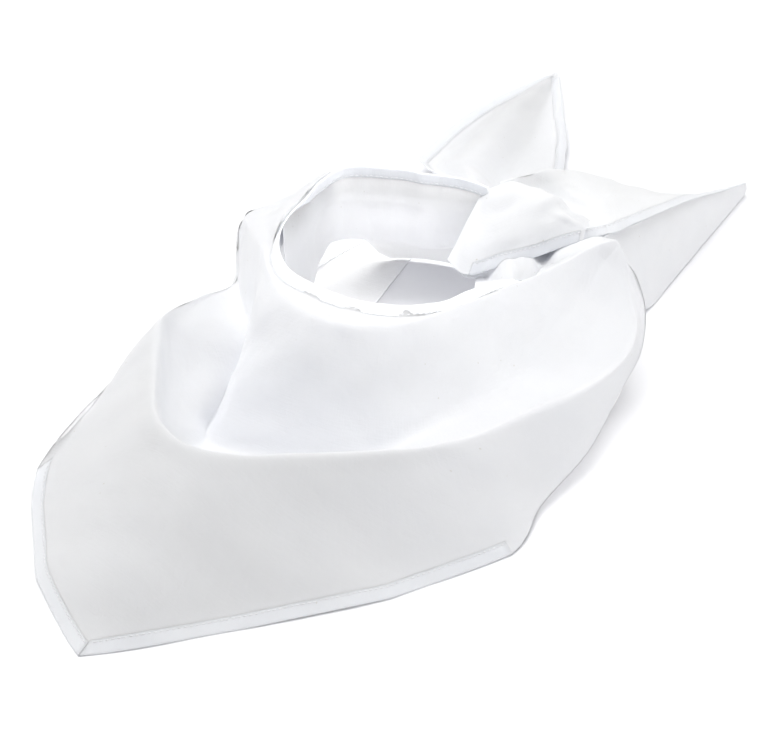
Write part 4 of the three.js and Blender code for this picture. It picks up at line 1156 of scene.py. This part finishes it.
@dataclass
class BackTail:
    """The end of the cloth that lies back on the table, with a ripple along it and a hem on each edge."""

    finishes: Finishes
    pieces: list[bpy.types.Object] = field(default_factory=list)

    def shape(self) -> Cloth:
        """Works out the surface with its ripples.

        Returns:
            The sheet.
        """
        rows = np.linspace(0, len(BACK_TAIL.rows) - 1, 240)
        read = {name: spline(BACK_TAIL.column(name), rows)[:, None] for name in BACK_TAIL.names}
        across = np.linspace(-1, 1, 110)[None, :]
        y = BACK_START + read["along"] * BACK_TAIL_LENGTH + 0 * across
        x = (read["side"] + across * read["half"]) * BACK_TAIL_WIDTH
        ripple = np.cos((across + 0.2) * math.pi * 1.7)
        drop = np.clip((across - 0.45) / 0.55, 0, 1) ** 1.5
        z = (read["lift"] + read["wave"] * 0.6 * ripple - read["fall"] * drop) * COLLAR_HEIGHT
        sheet = Cloth("back_tail_cloth", np.stack([x, y, np.maximum(z, 0.6)], axis=-1))
        ease = np.clip(sheet.grid[..., 2] / 6, 0.15, 1)
        sheet.shift(Wrinkles(51, 30, 0.45).at(sheet.places) * ease)
        return sheet

    def build(self) -> list[bpy.types.Object]:
        """Makes the tail and its two hems.

        Returns:
            The pieces.
        """
        sheet = self.shape()
        self.pieces = [sheet.build(self.finishes.cotton)]
        for name, side, seed in (("back_tail_hem_left_sewn", Side.START, 7), ("back_tail_hem_right_sewn", Side.END, 8)):
            hem = Hem(name)
            self.pieces += hem.build(*sheet.border(side, slice(0, 232), hem.distances()), self.finishes.hemmed,
                                     self.finishes.thread, seed)
        return self.pieces


@dataclass(frozen=True)
class Lamp:
    """One soft square light, aimed at the part."""

    name: str
    place: tuple[float, float, float]
    size: float
    watts: float


@dataclass
class Studio:
    """A plain pale floor, an even sky and broad soft lights, strongest from above and behind."""

    floor_colour: str = "FAFAFB"
    sky: float = 0.24
    lamps: tuple[Lamp, ...] = (Lamp("above", (-0.15, 0.1, 1.9), 1.6, 33.5), Lamp("right", (2.0, 0.1, 0.9), 1.4, 11.0),
                               Lamp("left", (-1.8, -0.3, 1.0), 1.4, 9.0), Lamp("front", (0.3, -2.0, 0.8), 1.2, 5.5))
    inner: tuple[Lamp, ...] = (Lamp("inner_front", (0.0, -0.9, 1.6), 1.4, 5.0),
                               Lamp("inner_right", (1.3, -0.2, 1.3), 1.4, 16.0))

    def floor(self) -> bpy.types.Object:
        """Makes the floor as one large subdivided sheet just under the part.

        Returns:
            The floor.
        """
        bpy.ops.object.select_all(action="DESELECT")
        bpy.ops.mesh.primitive_grid_add(x_subdivisions=8, y_subdivisions=8, size=12.0, location=(0, 0, -0.0003))
        made = bpy.context.active_object
        made.name = "studio_floor"
        material = blank_material("painted_board_white")
        tree = material.node_tree
        place = node(tree, "ShaderNodeTexCoord").outputs["Object"]
        mottle = node(tree, "ShaderNodeTexNoise", {"Vector": place, "Scale": 3.0})
        tone = node(tree, "ShaderNodeMix", {"A": linear(self.floor_colour), "B": linear("F7F7F9"),
                                            "Factor": mottle.outputs["Fac"]}, data_type="RGBA")
        shader = node(tree, "ShaderNodeBsdfPrincipled", {"Base Color": tone.outputs["Result"], "Roughness": 0.9,
                                                         "Specular IOR Level": 0.1})
        node(tree, "ShaderNodeOutputMaterial", {"Surface": shader.outputs[0]})
        made.data.materials.append(material)
        return made

    def into_loop(self, pieces: list[bpy.types.Object]) -> None:
        """Adds a soft light that falls on the inside of the loop alone, as light does that thin cotton lets through.

        Args:
            pieces: the pieces that the light falls on.
        """
        inside = bpy.data.collections.new("inside_of_loop")
        for piece in pieces:
            inside.objects.link(piece)
        for lamp in self.inner:
            self.lamp(lamp).light_linking.receiver_collection = inside

    def lamp(self, lamp: Lamp) -> bpy.types.Object:
        """Makes one lamp, aimed at the part.

        Args:
            lamp: its name, place, size and power.

        Returns:
            The lamp's object.
        """
        light = bpy.data.lights.new(lamp.name, "AREA")
        light.energy = lamp.watts
        light.size = lamp.size
        made = bpy.data.objects.new(lamp.name, light)
        made.location = lamp.place
        made.rotation_euler = Vector(lamp.place).to_track_quat("Z", "Y").to_euler()
        bpy.context.scene.collection.objects.link(made)
        return made

    def lights(self) -> None:
        """Sets the sky and the lamps."""
        world = bpy.data.worlds.new("pale_studio")
        bpy.context.scene.world = world
        world.use_nodes = True
        back = world.node_tree.nodes["Background"]
        back.inputs["Color"].default_value = linear("FFFFFF")
        back.inputs["Strength"].default_value = self.sky
        for lamp in self.lamps:
            self.lamp(lamp)


@dataclass
class View:
    """The photograph's camera."""

    azimuth: float = 30.0
    elevation: float = 35.0
    distance: float = 1109.0
    lens: float = 85.0
    target: tuple[float, float, float] = (6.9, -14.95, 0.0)

    def build(self) -> bpy.types.Object:
        """Makes the camera and gives it to the scene.

        Returns:
            The camera.
        """
        a, e = math.radians(self.azimuth), math.radians(self.elevation)
        back = Vector((math.sin(a) * math.cos(e), -math.cos(a) * math.cos(e), math.sin(e)))
        target = Vector((np.array(self.target) + LOOP_CENTRE) / 1000)
        data = bpy.data.cameras.new("photo_view")
        data.lens = self.lens
        data.sensor_fit = "HORIZONTAL"
        data.sensor_width = 36.0
        data.clip_start, data.clip_end = 0.05, 20.0
        made = bpy.data.objects.new("photo_view", data)
        made.location = target + back * (self.distance / 1000)
        made.rotation_euler = back.to_track_quat("Z", "Y").to_euler()
        bpy.context.scene.collection.objects.link(made)
        bpy.context.scene.camera = made
        return made


class Held(Enum):
    """How a sheet is held in the shape that it has."""

    DRAPED = "draped"
    GATHERED = "gathered"
    FOLDED = "folded"
    LAID = "laid"


@dataclass(frozen=True)
class Cut:
    """One sheet of the cloth: the solids it stands for, and its share of the flat triangle in metres."""

    nodes: tuple[str, ...]
    flat: tuple[float, float]
    area: float
    held: Held
    rests_on: tuple[str, ...]
    hems: tuple[str, ...] = ()
    slot: str = "cotton"

    def declare(self, piece: bpy.types.Object) -> None:
        """Args:
            piece: the sheet; not used.
        """
        if self.nodes:
            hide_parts(*self.nodes)


# The whole cloth is half of a 672 mm square: a triangle with a 950 mm long edge, 0.2256 square metres in all
CUTS = {
    "bib_drape": Cut(("bib",), (0.40, 0.475), 0.098, Held.DRAPED, ("left_turned_under", "right_turned_under"),
                     ("bib_hem_right_sewn", "bib_hem_left_sewn")),
    "left_turned_under": Cut(("left_turn_under",), (0.10, 0.34), 0.0203, Held.FOLDED, ("studio_floor",),
                             slot="shaded_cotton"),
    "right_turned_under": Cut(("right_turn_under",), (0.08, 0.22), 0.0128, Held.FOLDED, ("studio_floor",),
                              slot="shaded_cotton"),
    "loop_band": Cut(("neck_band", "back_drape"), (0.13, 0.27), 0.0282, Held.FOLDED,
                     ("left_turned_under", "knot_wrap_cloth"), ("neck_hem_sewn",)),
    "knot_wrap_cloth": Cut(("knot_wrap",), (0.08, 0.14), 0.0094, Held.GATHERED, ("knot_gathers",)),
    "knot_gathers": Cut(("knot_core",), (0.04, 0.055), 0.0020, Held.GATHERED, ("right_tail_top",),
                        slot="shaded_cotton"),
    "knot_pleats": Cut((), (0.04, 0.10), 0.0036, Held.GATHERED, ("knot_gathers",), slot="shaded_cotton"),
    "right_tail_top": Cut(("right_tail",), (0.09, 0.26), 0.0178, Held.FOLDED, ("right_tail_front",),
                          ("ridge_hem_sewn",)),
    "right_tail_front": Cut((), (0.07, 0.20), 0.0110, Held.FOLDED, ("studio_floor",)),
    "back_tail_cloth": Cut(("back_tail",), (0.095, 0.31), 0.0224, Held.LAID, ("studio_floor",),
                           ("back_tail_hem_left_sewn", "back_tail_hem_right_sewn")),
}


# Which solid each hem stands for
HEMS = {"bib_hem_left_sewn": "bib_hem_left", "bib_hem_right_sewn": "bib_hem_right", "neck_hem_sewn": "neck_hem",
        "ridge_hem_sewn": "right_tail_hem", "back_tail_hem_left_sewn": "back_tail_hem_left",
        "back_tail_hem_right_sewn": "back_tail_hem_right"}


def main() -> None:
    """Builds the view, the studio and every piece of the neckerchief."""
    logging.basicConfig(level=logging.INFO, format="%(name)s: %(message)s")
    bpy.ops.object.select_all(action="DESELECT")
    bpy.context.scene.view_settings.view_transform = "Standard"
    # White cloth passes light from layer to layer, so the light is followed further than by default
    bpy.context.scene.cycles.diffuse_bounces = 12
    bpy.context.scene.cycles.max_bounces = 24
    View().build()
    studio = Studio()
    studio.floor()
    studio.lights()
    # One cloth in copies of its colour: painted light, a paler colour, inside the loop, on the single layer of the wrap
    # and the right tail's top and on the cloth that lies under the rest; painted shade, a greyer colour, on a hem's
    # four layers
    finishes = Finishes(Cotton("plain_woven_cotton_white").material(),
                        # Painted light: a paler copy of the colour for the band at the back of the loop, whose inside
                        # lies in shade
                        Cotton("plain_woven_cotton_inside_painted_light", "FCFCFD", "F6F7F9", depth_mm=3.5).material(),
                        # Painted light: a paler copy of the colour for the knot's wrap and the right tail's top
                        Cotton("plain_woven_cotton_single_painted_light", "F3F4F6", "EBEDF1", depth_mm=1.2).material(),
                        # Painted light: the palest copy of the colour for the cloth turned under the drape
                        Cotton("plain_woven_cotton_turned_under_painted_light", "FDFDFE", "FAFAFB", depth_mm=1.0).material(),
                        # Painted shade: a greyer copy of the colour for the hems
                        Cotton("turned_cotton_hem_painted_shade", "E7E9ED", "DEE1E7", bump=0.14).material(),
                        Thread().material())
    bib, band, knot, right, back = (Bib(finishes), NeckBand(finishes), Knot(finishes), RightTail(finishes),
                                    BackTail(finishes))
    pieces = bib.build() + band.build() + knot.build() + right.build(knot.sheet) + back.build()
    inside = ("loop_band", "neck_hem", "left_turned", "right_turned", "knot_gathers")
    studio.into_loop([piece for piece in pieces if piece.name.startswith(inside)])
    for piece in pieces:
        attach(piece, "root")
        if piece.name in CUTS:
            CUTS[piece.name].declare(piece)
        LOG.info("%s: %d faces", piece.name, len(piece.data.polygons))
    for name, solid in HEMS.items():
        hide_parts(solid)


if __name__ == "__main__":
    main()
